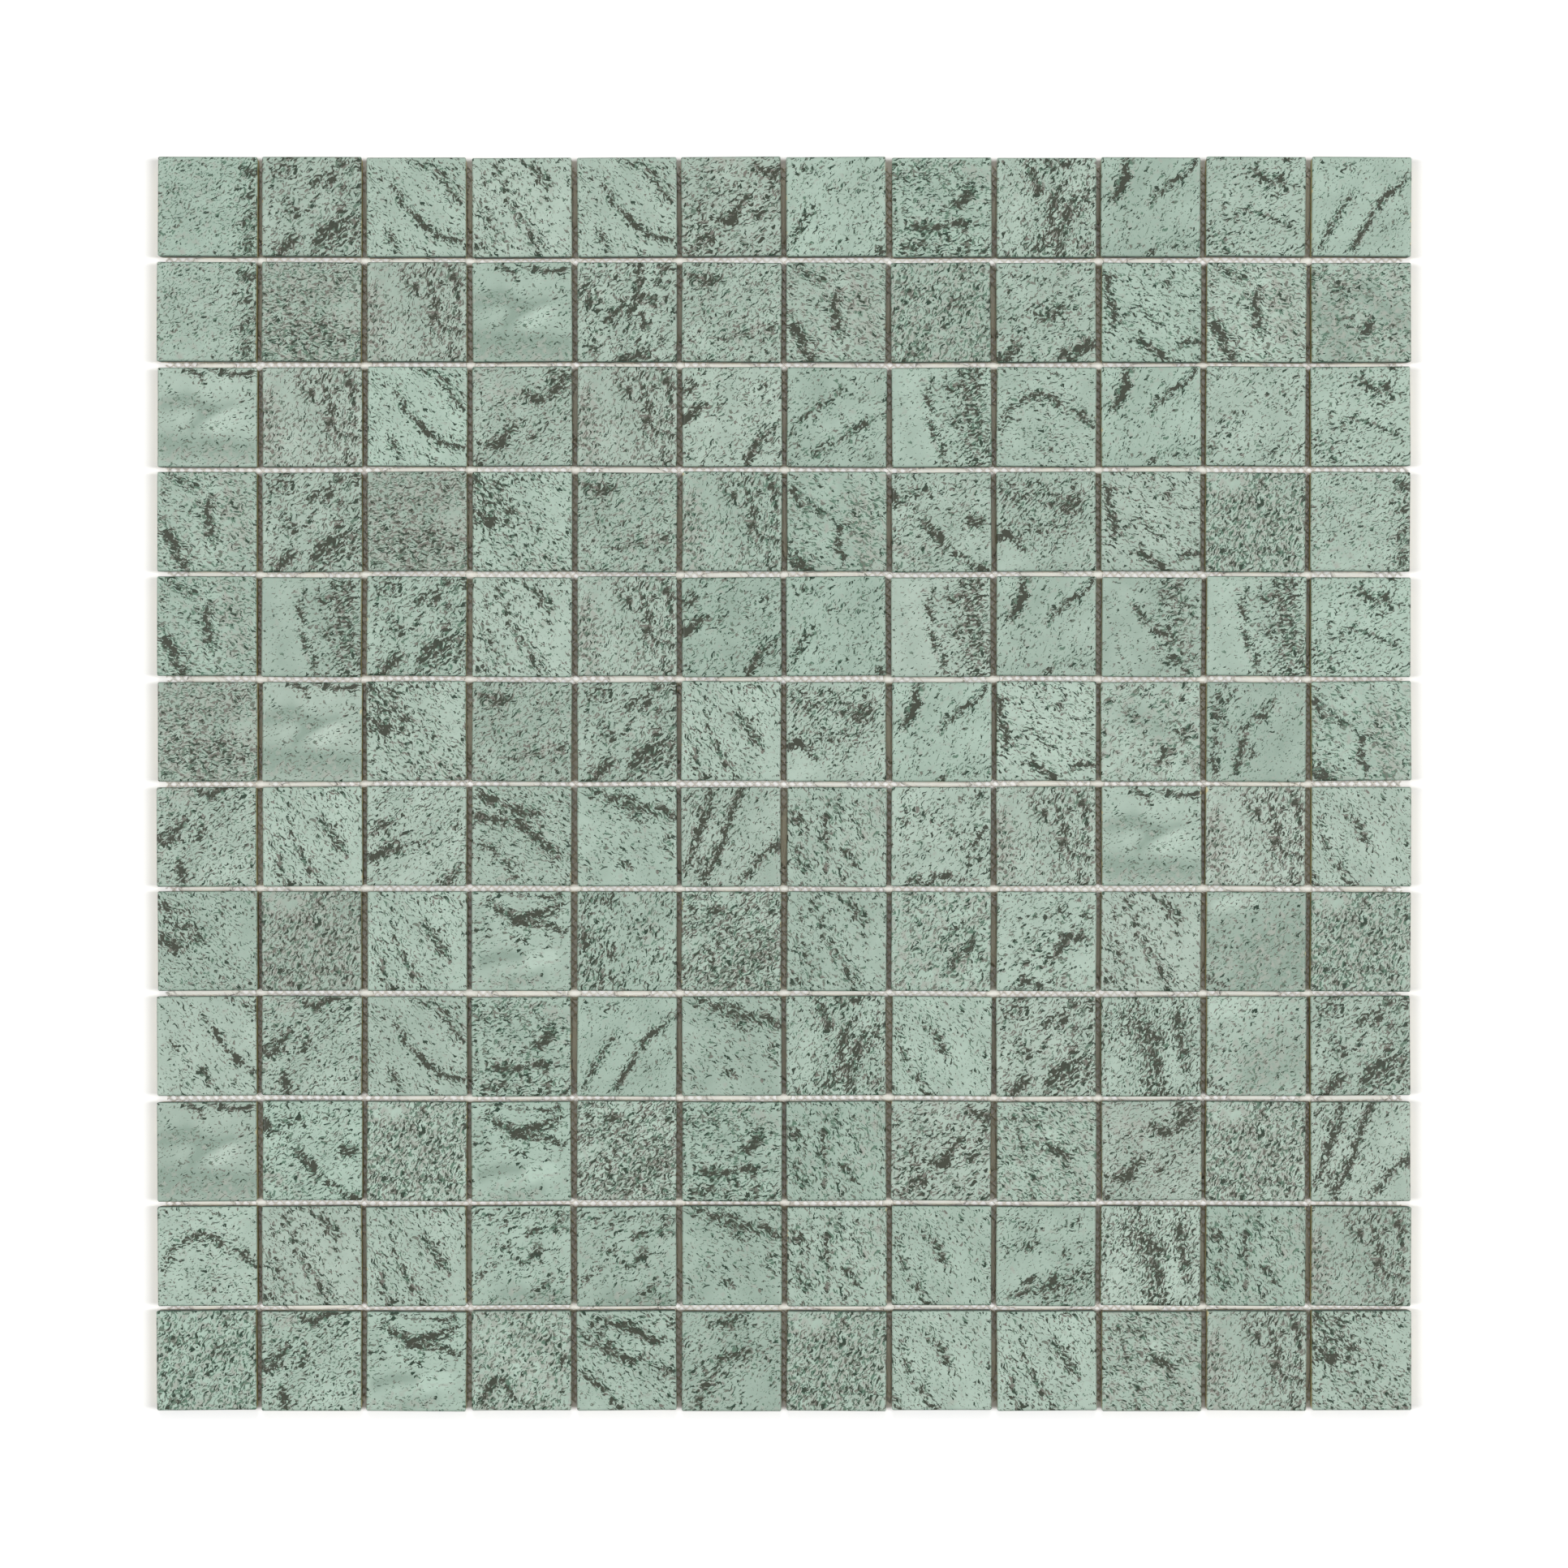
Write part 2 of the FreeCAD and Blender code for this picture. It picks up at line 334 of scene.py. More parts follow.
CLUSTER = Print(-40, 0.37, 0.15, (
    band(2.2, 0.3, (0.06, 0.42), (0.4, 0.42)),
    vein((0.05, 0.42, 0.35), (0.13, 0.46, 0.4), (0.2, 0.5, 1.0)),
    vein((0.1, 0.32, 0.3), (0.22, 0.29, 0.25), (0.35, 0.28, 0.35)),
    blot(0.4, 0.38, 0.4),
    vein((0.05, 0.25, 0.1), (0.25, 0.25, 0.15)),
    blot(0.08, 0.08, 0.35),
    band(1.4, 0.26, (0.04, 0.1), (0.32, 0.13)),
    band(2.5, -0.2, (0.9, 0.25), (0.85, 0.5)),
    veil(2.5, 0.4, (0.5, 0.9), (0.9, 0.9)),
))
DRIFT = Print(50, 0.26, 0.12, (
    band(1.1, 0.32, (0.13, 0.17), (0.18, 0.08)),
    vein((0.42, 0.3, 0.3), (0.5, 0.27, 0.5)),
    blot(0.25, 0.56, 0.35),
    vein((0.1, 0.78, 0.1), (0.15, 0.69, 0.2)),
    band(1.2, 0.24, (0.04, 0.88), (0.15, 0.7), (0.28, 0.52)),
    blot(0.95, 0.96, 0.5),
    band(1.6, 0.2, (0.9, 0.95), (1.0, 0.7)),
    band(2.0, -0.14, (0.15, 0.35), (0.6, 0.1)),
))
SWARM = Print(12, 0.345, 0.25, (
    vein((0.62, 0.48, 0.3), (0.7, 0.45, 0.35), (0.77, 0.38, 0.5)),
    vein((0.24, 0.69, 0.25), (0.36, 0.71, 0.35), (0.46, 0.72, 0.35), (0.55, 0.68, 0.3),
         (0.65, 0.65, 0.4), (0.73, 0.68, 0.3)),
    band(1.5, 0.26, (0.2, 0.68), (0.46, 0.72), (0.75, 0.67)),
    band(1.5, 0.26, (0.6, 0.5), (0.8, 0.36)),
    blot(0.3, 0.85, 0.35),
    blot(0.25, 0.97, 0.4),
    blot(0.75, 0.9, 0.4),
    band(2.2, 0.2, (0.15, 0.9), (0.9, 0.92)),
    band(2.0, 0.24, (0.05, 0.1), (0.35, 0.15)),
    veil(3.0, 0.5, (0.7, 0.1), (0.95, 0.2)),
    band(2.0, -0.22, (0.85, 0.1), (0.95, 0.25)),
))
FINE_CLOUD = Print(40, 0.36, 0.4, (
    vein((0.1, 0.15, 0.25), (0.2, 0.22, 0.35), (0.32, 0.18, 0.45)),
    band(1.3, 0.28, (0.06, 0.1), (0.2, 0.21), (0.34, 0.17)),
    blot(0.1, 0.78, 0.45),
    blot(0.88, 0.7, 0.3),
    band(2.0, 0.14, (0.4, 0.75), (0.9, 0.7)),
))
SMUDGE = Print(55, 0.38, 0.6, (
    blot(0.15, 0.33, 0.5),
    band(2.4, 0.2, (0.63, 0.4), (0.67, 0.45)),
    blot(0.65, 0.42, 0.5),
    blot(0.75, 0.12, 0.35),
    vein((0.25, 0.88, 0.5), (0.24, 0.93, 0.6)),
    band(2.0, -0.15, (0.25, 0.15), (0.5, 0.1)),
))
EDGE_VEIN = Print(40, 0.31, 0.12, (
    vein((0.02, 0.55, 0.6), (0.08, 0.5, 0.8), (0.15, 0.45, 0.5), (0.25, 0.4, 0.25)),
    band(1.4, 0.32, (0.0, 0.54), (0.25, 0.4)),
    vein((0.05, 0.25, 0.3), (0.17, 0.2, 0.35)),
    band(1.2, 0.28, (0.03, 0.26), (0.22, 0.16)),
    vein((0.65, 0.97, 0.5), (0.7, 0.88, 0.3), (0.78, 0.77, 0.2), (0.85, 0.68, 0.15)),
    band(1.2, 0.24, (0.66, 0.97), (0.78, 0.77), (0.92, 0.63)),
    blot(0.86, 0.21, 0.5),
    band(2.6, -0.18, (0.3, 0.75), (0.5, 0.6)),
))
DRIFTS = Print(36, 0.25, 0.1, (
    vein((0.2, 0.47, 0.15), (0.26, 0.43, 0.4)),
    blot(0.34, 0.38, 0.3),
    band(1.2, 0.28, (0.03, 0.66), (0.12, 0.52), (0.25, 0.44), (0.55, 0.2)),
    blot(0.64, 0.64, 0.3),
    vein((0.72, 0.58, 0.4), (0.8, 0.54, 0.2)),
    band(1.2, 0.3, (0.3, 0.86), (0.6, 0.68), (0.72, 0.58), (0.97, 0.47)),
    blot(0.58, 0.19, 0.4),
    band(1.6, 0.16, (0.05, 0.85), (0.3, 0.8)),
    band(2.0, -0.15, (0.15, 0.15), (0.4, 0.2)),
))
CURTAIN = Print(20, 0.08, 0.1, (
    band(5.6, 0.52, (0.76, 0.1), (0.86, 0.9)),
    band(1.6, 0.26, (0.36, 0.1), (0.42, 0.5), (0.54, 0.95)),
    vein((0.3, 0.22, 0.3), (0.36, 0.33, 0.5), (0.4, 0.42, 0.4)),
    vein((0.36, 0.5, 0.2), (0.4, 0.58, 0.35), (0.43, 0.72, 0.35), (0.52, 0.88, 0.35)),
    blot(0.57, 0.22, 0.4),
    vein((0.55, 0.5, 0.3), (0.62, 0.6, 0.4)),
    vein((0.86, 0.04, 0.6), (0.9, 0.06, 0.8)),
    blot(0.95, 0.68, 0.4),
    band(1.0, 0.22, (0.12, 0.46), (0.2, 0.82)),
    band(1.0, -0.2, (0.15, 0.1), (0.26, 0.6), (0.35, 0.95)),
    veil(3.0, 0.4, (0.8, 0.3), (0.9, 0.7)),
))
HIGH_CURTAIN = Print(22, 0.1, 0.1, (
    band(5.6, 0.42, (0.72, 0.1), (0.76, 0.85)),
    vein((0.34, 0.32, 0.2), (0.42, 0.42, 0.35), (0.5, 0.5, 0.2), (0.62, 0.55, 0.25), (0.72, 0.62, 0.4)),
    vein((0.68, 0.78, 0.2), (0.78, 0.9, 0.5), (0.85, 0.95, 0.3)),
    band(1.4, 0.26, (0.3, 0.28), (0.5, 0.5), (0.72, 0.62)),
    band(1.2, 0.24, (0.08, 0.45), (0.2, 0.8), (0.3, 0.95)),
    blot(0.6, 0.16, 0.35),
    blot(0.86, 0.3, 0.35),
    band(1.0, -0.16, (0.1, 0.1), (0.45, 0.7)),
    veil(3.0, 0.4, (0.8, 0.3), (0.9, 0.7)),
))
KNOTTED = Print(30, 0.33, 0.15, (
    vein((0.02, 0.2, 0.9), (0.03, 0.27, 1.2)),
    vein((0.35, 0.52, 0.5), (0.45, 0.6, 0.4), (0.5, 0.67, 1.0), (0.52, 0.74, 0.6)),
    band(1.3, 0.28, (0.34, 0.5), (0.52, 0.72)),
    blot(0.44, 0.33, 0.4),
    blot(0.25, 0.4, 0.3),
    blot(0.17, 0.47, 0.3),
    vein((0.78, 0.53, 0.35), (0.9, 0.53, 0.45)),
    band(1.1, 0.25, (0.75, 0.53), (0.97, 0.52)),
    vein((0.66, 0.81, 0.5), (0.69, 0.84, 0.8)),
    vein((0.75, 0.9, 0.35), (0.85, 0.97, 0.4), (0.97, 0.99, 0.5)),
    band(1.8, 0.2, (0.1, 0.3), (0.3, 0.2)),
    band(2.2, -0.18, (0.8, 0.68), (0.95, 0.75)),
    veil(2.5, 0.5, (0.05, 0.75), (0.3, 0.9)),
))
STREAKS = Print(60, 0.4, 0.15, (
    vein((0.33, 0.08, 0.3), (0.4, 0.25, 0.35), (0.41, 0.32, 0.45)),
    band(1.1, 0.28, (0.33, 0.06), (0.41, 0.33)),
    band(1.6, 0.36, (0.55, 0.1), (0.7, 0.05)),
    vein((0.55, 0.42, 0.25), (0.55, 0.49, 0.7), (0.52, 0.62, 0.2)),
    vein((0.78, 0.36, 0.2), (0.7, 0.52, 0.55), (0.69, 0.6, 0.5), (0.62, 0.72, 0.2), (0.61, 0.92, 0.25)),
    vein((0.92, 0.4, 0.2), (0.82, 0.55, 0.2)),
    band(1.3, 0.2, (0.5, 0.95), (0.54, 0.6), (0.62, 0.3)),
    band(1.3, 0.2, (0.62, 0.95), (0.7, 0.6), (0.9, 0.35)),
    vein((0.4, 0.9, 0.7), (0.5, 0.75, 0.3)),
    blot(0.9, 0.9, 0.5),
    band(2.6, -0.14, (0.1, 0.35), (0.2, 0.8)),
))
SPRIG = Print(50, 0.2, 0.12, (
    vein((0.27, 0.05, 0.35), (0.25, 0.15, 0.8), (0.28, 0.22, 0.7), (0.2, 0.33, 0.5), (0.14, 0.42, 0.4)),
    band(1.4, 0.34, (0.3, 0.0), (0.27, 0.2), (0.13, 0.43)),
    vein((0.55, 0.42, 0.15), (0.65, 0.33, 0.35), (0.73, 0.24, 0.7), (0.83, 0.2, 0.4), (0.9, 0.13, 0.2),
         (0.98, 0.03, 0.2)),
    band(1.2, 0.2, (0.55, 0.42), (0.73, 0.24), (0.9, 0.14)),
    band(1.5, 0.14, (0.55, 0.4), (0.2, 0.85)),
    band(2.0, 0.2, (0.5, 0.95), (1.0, 0.85)),
    blot(0.73, 0.46, 0.3),
    band(2.0, -0.1, (0.4, 0.7), (0.9, 0.6)),
))
LOOSE_NET = Print(25, 0.3, 0.15, (
    blot(0.85, 0.02, 0.4),
    vein((0.5, 0.15, 0.25), (0.6, 0.2, 0.4)),
    vein((0.65, 0.27, 0.3), (0.75, 0.2, 0.35), (0.8, 0.28, 0.2)),
    band(1.1, 0.26, (0.45, 0.14), (0.62, 0.24), (0.76, 0.2)),
    blot(0.72, 0.4, 0.4),
    band(1.1, 0.3, (0.3, 0.65), (0.42, 0.52), (0.6, 0.58), (0.8, 0.65), (0.9, 0.75)),
    band(2.0, 0.24, (0.03, 0.78), (0.35, 0.92)),
    band(2.0, -0.12, (0.15, 0.3), (0.3, 0.4)),
))
TWIN_VEINS = Print(50, 0.18, 0.1, (
    vein((0.1, 0.92, 0.25), (0.17, 0.75, 0.6), (0.27, 0.6, 0.4), (0.33, 0.48, 0.4), (0.42, 0.38, 0.2)),
    band(1.2, 0.24, (0.05, 1.0), (0.17, 0.76), (0.36, 0.45)),
    vein((0.42, 0.92, 0.35), (0.47, 0.82, 0.5), (0.57, 0.72, 0.6), (0.6, 0.58, 0.35), (0.7, 0.48, 0.35),
         (0.77, 0.37, 0.9), (0.85, 0.35, 0.45), (0.92, 0.25, 0.35), (1.0, 0.2, 0.35)),
    band(1.2, 0.24, (0.4, 0.95), (0.6, 0.6), (0.77, 0.37), (1.0, 0.2)),
    band(2.2, 0.2, (0.15, 0.15), (0.45, 0.1)),
    band(1.6, 0.22, (0.75, 0.75), (0.98, 0.55)),
    band(1.3, -0.12, (0.3, 0.9), (0.5, 0.55)),
))
RIM_VEIN = Print(-30, 0.31, 0.15, (
    vein((0.06, 0.18, 0.8), (0.04, 0.35, 0.5), (0.1, 0.45, 0.5), (0.13, 0.53, 0.6), (0.09, 0.68, 0.3)),
    band(1.3, 0.2, (0.05, 0.2), (0.12, 0.6)),
    vein((0.4, 0.82, 0.2), (0.52, 0.9, 0.4), (0.58, 0.92, 0.6), (0.65, 0.99, 0.5)),
    vein((0.83, 0.82, 0.3), (0.98, 0.82, 0.4)),
    band(1.2, 0.24, (0.38, 0.8), (0.64, 0.97)),
    band(1.8, 0.18, (0.35, 0.5), (0.55, 0.62)),
    band(1.3, 0.18, (0.8, 0.83), (0.98, 0.82)),
    band(2.0, -0.12, (0.3, 0.25), (0.2, 0.4)),
))
GREY_CLOUD = Print(12, 0.24, 0.65, (
    vein((0.25, 0.17, 0.5), (0.28, 0.2, 0.8)),
    band(2.2, 0.3, (0.57, 0.62), (0.52, 0.73)),
    vein((0.57, 0.61, 0.8), (0.53, 0.71, 0.4)),
    vein((0.15, 0.58, 0.2), (0.28, 0.56, 0.25), (0.4, 0.56, 0.35)),
    band(2.4, 0.16, (0.1, 0.1), (0.3, 0.3)),
    wash(3.0, -0.6, (0.5, 0.3), (0.9, 0.6)),
    wash(4.0, -0.7, (0.1, 0.45), (0.3, 0.9)),
))
ARC = Print(10, 0.26, 0.12, (
    band(1.3, 0.34, (0.08, 0.6), (0.12, 0.45), (0.25, 0.35), (0.42, 0.3), (0.55, 0.33), (0.7, 0.45),
         (0.82, 0.47), (0.95, 0.58)),
    vein((0.38, 0.3, 0.3), (0.44, 0.3, 0.4)),
    vein((0.54, 0.32, 0.2), (0.62, 0.38, 0.35)),
    vein((0.82, 0.47, 0.2), (0.9, 0.53, 0.6), (0.95, 0.58, 0.3)),
    band(2.6, 0.16, (0.5, 0.6), (0.5, 0.85)),
    blot(0.59, 0.08, 0.3),
    band(2.0, -0.16, (0.85, 0.15), (0.95, 0.35)),
))
SPARSE = Print(38, 0.28, 0.12, (
    vein((0.27, 0.47, 0.2), (0.31, 0.44, 0.4)),
    band(1.1, 0.3, (0.03, 0.82), (0.1, 0.7)),
    band(2.4, -0.1, (0.3, 0.3), (0.7, 0.5)),
    band(1.8, 0.15, (0.6, 0.85), (0.95, 0.8)),
))
BLOT = Print(46, 0.35, 0.2, (
    vein((0.0, 0.65, 0.5), (0.1, 0.58, 1.3), (0.18, 0.65, 0.7), (0.25, 0.75, 0.35), (0.3, 0.78, 0.5)),
    vein((0.19, 0.25, 0.4), (0.21, 0.28, 0.6)),
    blot(0.3, 0.53, 0.4),
    vein((0.7, 0.35, 0.6), (0.75, 0.28, 0.3)),
    blot(0.7, 0.52, 0.4),
    band(3.2, 0.2, (0.2, 0.2), (0.8, 0.25)),
    band(1.6, 0.26, (0.8, 0.3), (0.66, 0.48), (0.42, 0.6)),
    band(3.2, -0.4, (0.08, 0.92), (0.25, 0.9)),
    band(2.6, -0.18, (0.7, 0.85), (0.95, 0.7)),
))
BROWN_CLOUD = Print(62, 0.365, 0.7, (
    band(2.6, 0.12, (0.3, 0.3), (0.8, 0.5)),
    band(2.0, 0.14, (0.2, 0.85), (0.7, 0.75)),
    band(1.6, -0.2, (0.1, 0.1), (0.3, 0.12)),
))
GREEN_CLOUD = Print(35, 0.27, 0.5, (
    band(1.8, 0.22, (0.86, 0.45), (0.6, 0.8)),
    vein((0.55, 0.8, 0.2), (0.62, 0.72, 0.5)),
    vein((0.8, 0.5, 0.2), (0.85, 0.6, 0.4)),
    wash(1.4, 0.8, (0.64, 0.8), (0.68, 0.84)),
    wash(3.0, -0.5, (0.3, 0.3), (0.6, 0.5)),
))
FLANK = Print(45, 0.2, 0.12, (
    blot(0.18, 0.05, 0.4),
    blot(0.14, 0.13, 0.4),
    vein((0.12, 0.25, 0.3), (0.1, 0.4, 0.35), (0.08, 0.6, 0.4), (0.08, 0.68, 0.3)),
    vein((0.3, 0.05, 0.25), (0.22, 0.17, 0.3), (0.15, 0.3, 0.25), (0.15, 0.45, 0.2)),
    vein((0.05, 0.8, 0.4), (0.1, 0.9, 0.5)),
    vein((0.3, 0.88, 0.5), (0.34, 0.72, 0.4), (0.37, 0.6, 0.2)),
    vein((0.3, 0.5, 0.2), (0.4, 0.46, 0.4), (0.46, 0.44, 0.2)),
    vein((0.46, 0.37, 0.3), (0.58, 0.36, 0.5), (0.55, 0.28, 0.2), (0.7, 0.2, 0.25)),
    vein((0.42, 0.8, 0.5), (0.5, 0.7, 0.3)),
    band(1.4, 0.26, (0.1, 0.1), (0.08, 0.92)),
    band(1.4, 0.24, (0.3, 0.9), (0.4, 0.46), (0.7, 0.2)),
    band(3.0, -0.2, (0.65, 0.95), (0.9, 0.65)),
))
TANGLE = Print(-30, 0.345, 0.2, (
    vein((0.1, 0.08, 0.4), (0.25, 0.12, 0.9)),
    vein((0.35, 0.2, 0.3), (0.5, 0.25, 0.4), (0.65, 0.28, 0.7)),
    vein((0.05, 0.3, 0.4), (0.3, 0.32, 0.4), (0.5, 0.38, 0.4), (0.55, 0.42, 0.8), (0.65, 0.47, 0.4),
         (0.75, 0.6, 0.3), (0.88, 0.68, 0.3)),
    vein((0.1, 0.58, 0.25), (0.2, 0.6, 0.3), (0.25, 0.68, 0.4)),
    vein((0.35, 0.75, 0.5), (0.4, 0.82, 0.3)),
    blot(0.45, 0.9, 0.5),
    blot(0.92, 0.15, 0.5),
    band(1.6, 0.26, (0.1, 0.1), (0.65, 0.28)),
    band(1.3, 0.2, (0.05, 0.3), (0.55, 0.4), (0.88, 0.68)),
    band(2.2, -0.22, (0.05, 0.85), (0.15, 0.95)),
    band(2.2, -0.16, (0.65, 0.85), (0.8, 0.95)),
))
SHELF = Print(-32, 0.23, 0.1, (
    vein((0.15, 0.02, 0.4), (0.3, 0.1, 0.4), (0.45, 0.15, 0.45), (0.55, 0.2, 0.35), (0.75, 0.2, 0.35),
         (0.88, 0.22, 0.8), (0.97, 0.33, 0.5)),
    vein((0.4, 0.08, 0.5), (0.52, 0.1, 0.6), (0.6, 0.15, 0.35)),
    vein((0.52, 0.28, 0.3), (0.65, 0.37, 0.5)),
    band(1.8, 0.32, (0.15, 0.06), (0.5, 0.2), (0.98, 0.3)),
    blot(0.28, 0.48, 0.4),
    vein((0.42, 0.72, 0.25), (0.5, 0.78, 0.35)),
    band(1.1, 0.28, (0.36, 0.7), (0.5, 0.83)),
    band(1.1, 0.3, (0.9, 0.5), (0.93, 0.7)),
    band(1.6, 0.24, (0.7, 0.02), (0.98, 0.05)),
    band(3.0, -0.12, (0.3, 0.92), (0.7, 0.9)),
))
BANDS_UP = Print(55, 0.28, 0.15, (
    band(1.3, 0.26, (0.13, 0.22), (0.12, 0.05)),
    vein((0.3, 0.05, 0.5), (0.3, 0.2, 0.4), (0.22, 0.33, 0.6), (0.17, 0.5, 0.4), (0.12, 0.7, 0.3),
         (0.04, 0.85, 0.3)),
    vein((0.6, 0.03, 0.35), (0.55, 0.15, 0.5), (0.5, 0.25, 0.35), (0.45, 0.45, 0.7), (0.42, 0.58, 0.5),
         (0.35, 0.72, 0.5), (0.22, 0.92, 0.4)),
    vein((0.35, 0.6, 0.25), (0.22, 0.72, 0.35), (0.15, 0.85, 0.3)),
    vein((0.98, 0.58, 0.6), (0.9, 0.6, 0.4), (0.8, 0.7, 0.35), (0.75, 0.75, 0.4), (0.62, 0.92, 0.4)),
    band(1.3, 0.24, (0.3, 0.03), (0.2, 0.4), (0.08, 0.8)),
    band(1.3, 0.26, (0.6, 0.03), (0.44, 0.5), (0.22, 0.92)),
    band(1.2, 0.16, (0.97, 0.58), (0.64, 0.9)),
    band(2.0, -0.2, (0.8, 0.95), (0.95, 0.8)),
    band(2.0, -0.12, (0.75, 0.3), (0.95, 0.1)),
))
LEAN = Print(-60, 0.325, 0.25, (
    vein((0.38, 0.28, 0.3), (0.37, 0.45, 0.3), (0.42, 0.6, 0.3)),
    band(1.8, 0.26, (0.1, 0.27), (0.1, 0.33)),
    blot(0.1, 0.3, 0.5),
    band(1.3, 0.3, (0.1, 0.6), (0.15, 0.75), (0.22, 0.78)),
    vein((0.58, 0.63, 0.3), (0.65, 0.68, 0.5)),
    blot(0.42, 0.7, 0.4),
    blot(0.55, 0.95, 0.4),
    blot(0.7, 0.77, 0.4),
    band(1.4, 0.18, (0.5, 0.05), (0.45, 0.3)),
    veil(3.0, 0.4, (0.85, 0.2), (0.85, 0.6)),
    band(3.0, -0.16, (0.85, 0.2), (0.88, 0.9)),
))
LOW_HOOK = Print(50, 0.315, 0.15, (
    vein((0.2, 0.92, 0.4), (0.3, 0.93, 0.35), (0.38, 0.96, 0.5), (0.47, 0.9, 0.4), (0.57, 0.85, 0.5),
         (0.63, 0.87, 0.4), (0.7, 0.92, 0.4)),
    band(1.1, 0.2, (0.2, 0.93), (0.57, 0.87), (0.72, 0.92)),
    vein((0.95, 0.4, 0.6), (0.88, 0.5, 0.4), (0.83, 0.57, 0.35)),
    blot(0.87, 0.08, 0.5),
    blot(0.15, 0.33, 0.5),
    blot(0.65, 0.45, 0.4),
    band(1.6, 0.28, (0.74, 0.7), (0.8, 0.74)),
    band(2.4, -0.16, (0.3, 0.75), (0.6, 0.72)),
))
PLUMB = Print(66, 0.345, 0.12, (
    band(3.0, 0.18, (0.15, 0.1), (0.2, 0.95)),
    vein((0.08, 0.45, 0.35), (0.1, 0.55, 0.6)),
    vein((0.38, 0.55, 0.3), (0.37, 0.63, 0.4)),
    vein((0.36, 0.03, 0.2), (0.35, 0.1, 0.3)),
    band(1.8, 0.2, (0.25, 0.8), (0.5, 0.95)),
    veil(3.0, 0.4, (0.7, 0.1), (0.75, 0.5)),
))
PATCHED_CLOUD = Print(40, 0.465, 0.4, (
    vein((0.3, 0.2, 0.4), (0.36, 0.16, 0.6)),
    blot(0.12, 0.35, 0.4),
    band(1.1, -0.4, (0.42, 0.0), (0.47, 0.1)),
    band(1.1, -0.4, (0.2, 0.45), (0.05, 0.55)),
    band(3.5, 0.08, (0.4, 0.8), (0.85, 0.6)),
    veil(4.0, 0.3, (0.5, 0.8), (0.9, 0.5)),
))
VEINED_CLOUD = Print(50, 0.28, 0.6, (
    vein((0.57, 0.39, 0.3), (0.72, 0.37, 0.3), (0.82, 0.45, 0.2), (0.82, 0.58, 0.6), (0.7, 0.65, 0.2),
         (0.63, 0.72, 0.5), (0.6, 0.85, 0.2)),
    band(1.4, 0.24, (0.8, 0.44), (0.82, 0.58), (0.63, 0.74)),
    vein((0.95, 0.9, 0.4), (1.0, 0.85, 0.5)),
    wash(3.0, -0.2, (0.2, 0.3), (0.4, 0.7)),
))
RIGHT_BLOT = Print(35, 0.3, 0.12, (
    vein((0.58, 0.6, 0.3), (0.65, 0.53, 0.4), (0.68, 0.45, 0.6), (0.73, 0.4, 0.5), (0.8, 0.43, 0.5)),
    vein((0.6, 0.08, 0.5), (0.6, 0.2, 0.3)),
    vein((0.85, 0.24, 0.4), (0.9, 0.21, 0.7)),
    vein((0.2, 0.93, 0.4), (0.3, 0.9, 0.8), (0.42, 0.93, 0.4)),
    blot(0.38, 0.48, 0.4),
    band(2.0, 0.2, (0.4, 0.65), (0.6, 0.7), (0.55, 0.85)),
    band(1.4, 0.26, (0.6, 0.6), (0.7, 0.44), (0.82, 0.44)),
    band(2.5, -0.16, (0.9, 0.65), (0.85, 0.9)),
    veil(2.5, 0.4, (0.7, 0.9), (0.95, 0.85)),
))
PLAIN = Print(40, 0.2, 0.4, (
    band(1.1, 0.28, (0.05, 0.55), (0.2, 0.6)),
    blot(0.06, 0.9, 0.35),
    band(1.6, 0.22, (0.03, 0.84), (0.16, 0.95)),
    wash(2.0, 0.7, (0.1, 0.15), (0.45, 0.08)),
    wash(5.0, -0.6, (0.5, 0.8), (0.9, 0.6)),
    veil(4.0, 0.3, (0.7, 0.5), (0.4, 0.9)),
))
MOTTLED = Print(-25, 0.28, 0.6, (
    vein((0.1, 0.18, 0.2), (0.3, 0.17, 0.35), (0.45, 0.22, 0.4)),
    vein((0.5, 0.42, 0.3), (0.62, 0.5, 0.7), (0.72, 0.57, 0.3)),
    band(1.3, 0.2, (0.5, 0.42), (0.72, 0.57)),
    blot(0.73, 0.68, 0.45),
    vein((0.83, 0.8, 0.35), (0.83, 0.9, 0.3)),
    vein((0.22, 0.2, 0.1), (0.25, 0.42, 0.15), (0.35, 0.7, 0.1), (0.45, 0.78, 0.15)),
    band(1.4, -0.22, (0.54, 0.36), (0.58, 0.4)),
    wash(1.6, 0.6, (0.54, 0.36), (0.58, 0.4)),
))
MID_BAND = Print(32, 0.24, 0.12, (
    vein((0.22, 0.38, 0.3), (0.3, 0.42, 0.35), (0.35, 0.4, 0.45)),
    vein((0.55, 0.28, 0.3), (0.7, 0.28, 0.2)),
    band(1.0, 0.32, (0.55, 0.28), (0.8, 0.23), (0.95, 0.25)),
    vein((0.55, 0.5, 0.3), (0.62, 0.45, 0.35), (0.7, 0.43, 0.4)),
    blot(0.5, 0.58, 0.3),
    band(1.3, 0.28, (0.48, 0.6), (0.7, 0.43)),
    vein((0.07, 0.72, 0.3), (0.12, 0.66, 0.3)),
    band(2.2, 0.2, (0.05, 0.1), (0.9, 0.12)),
    band(1.5, 0.22, (0.65, 0.85), (0.9, 0.75)),
    wash(2.4, -0.5, (0.3, 0.9), (0.9, 0.95)),
    veil(2.4, 0.5, (0.3, 0.92), (0.9, 0.95)),
    band(2.0, -0.2, (0.3, 0.85), (0.5, 0.95)),
))
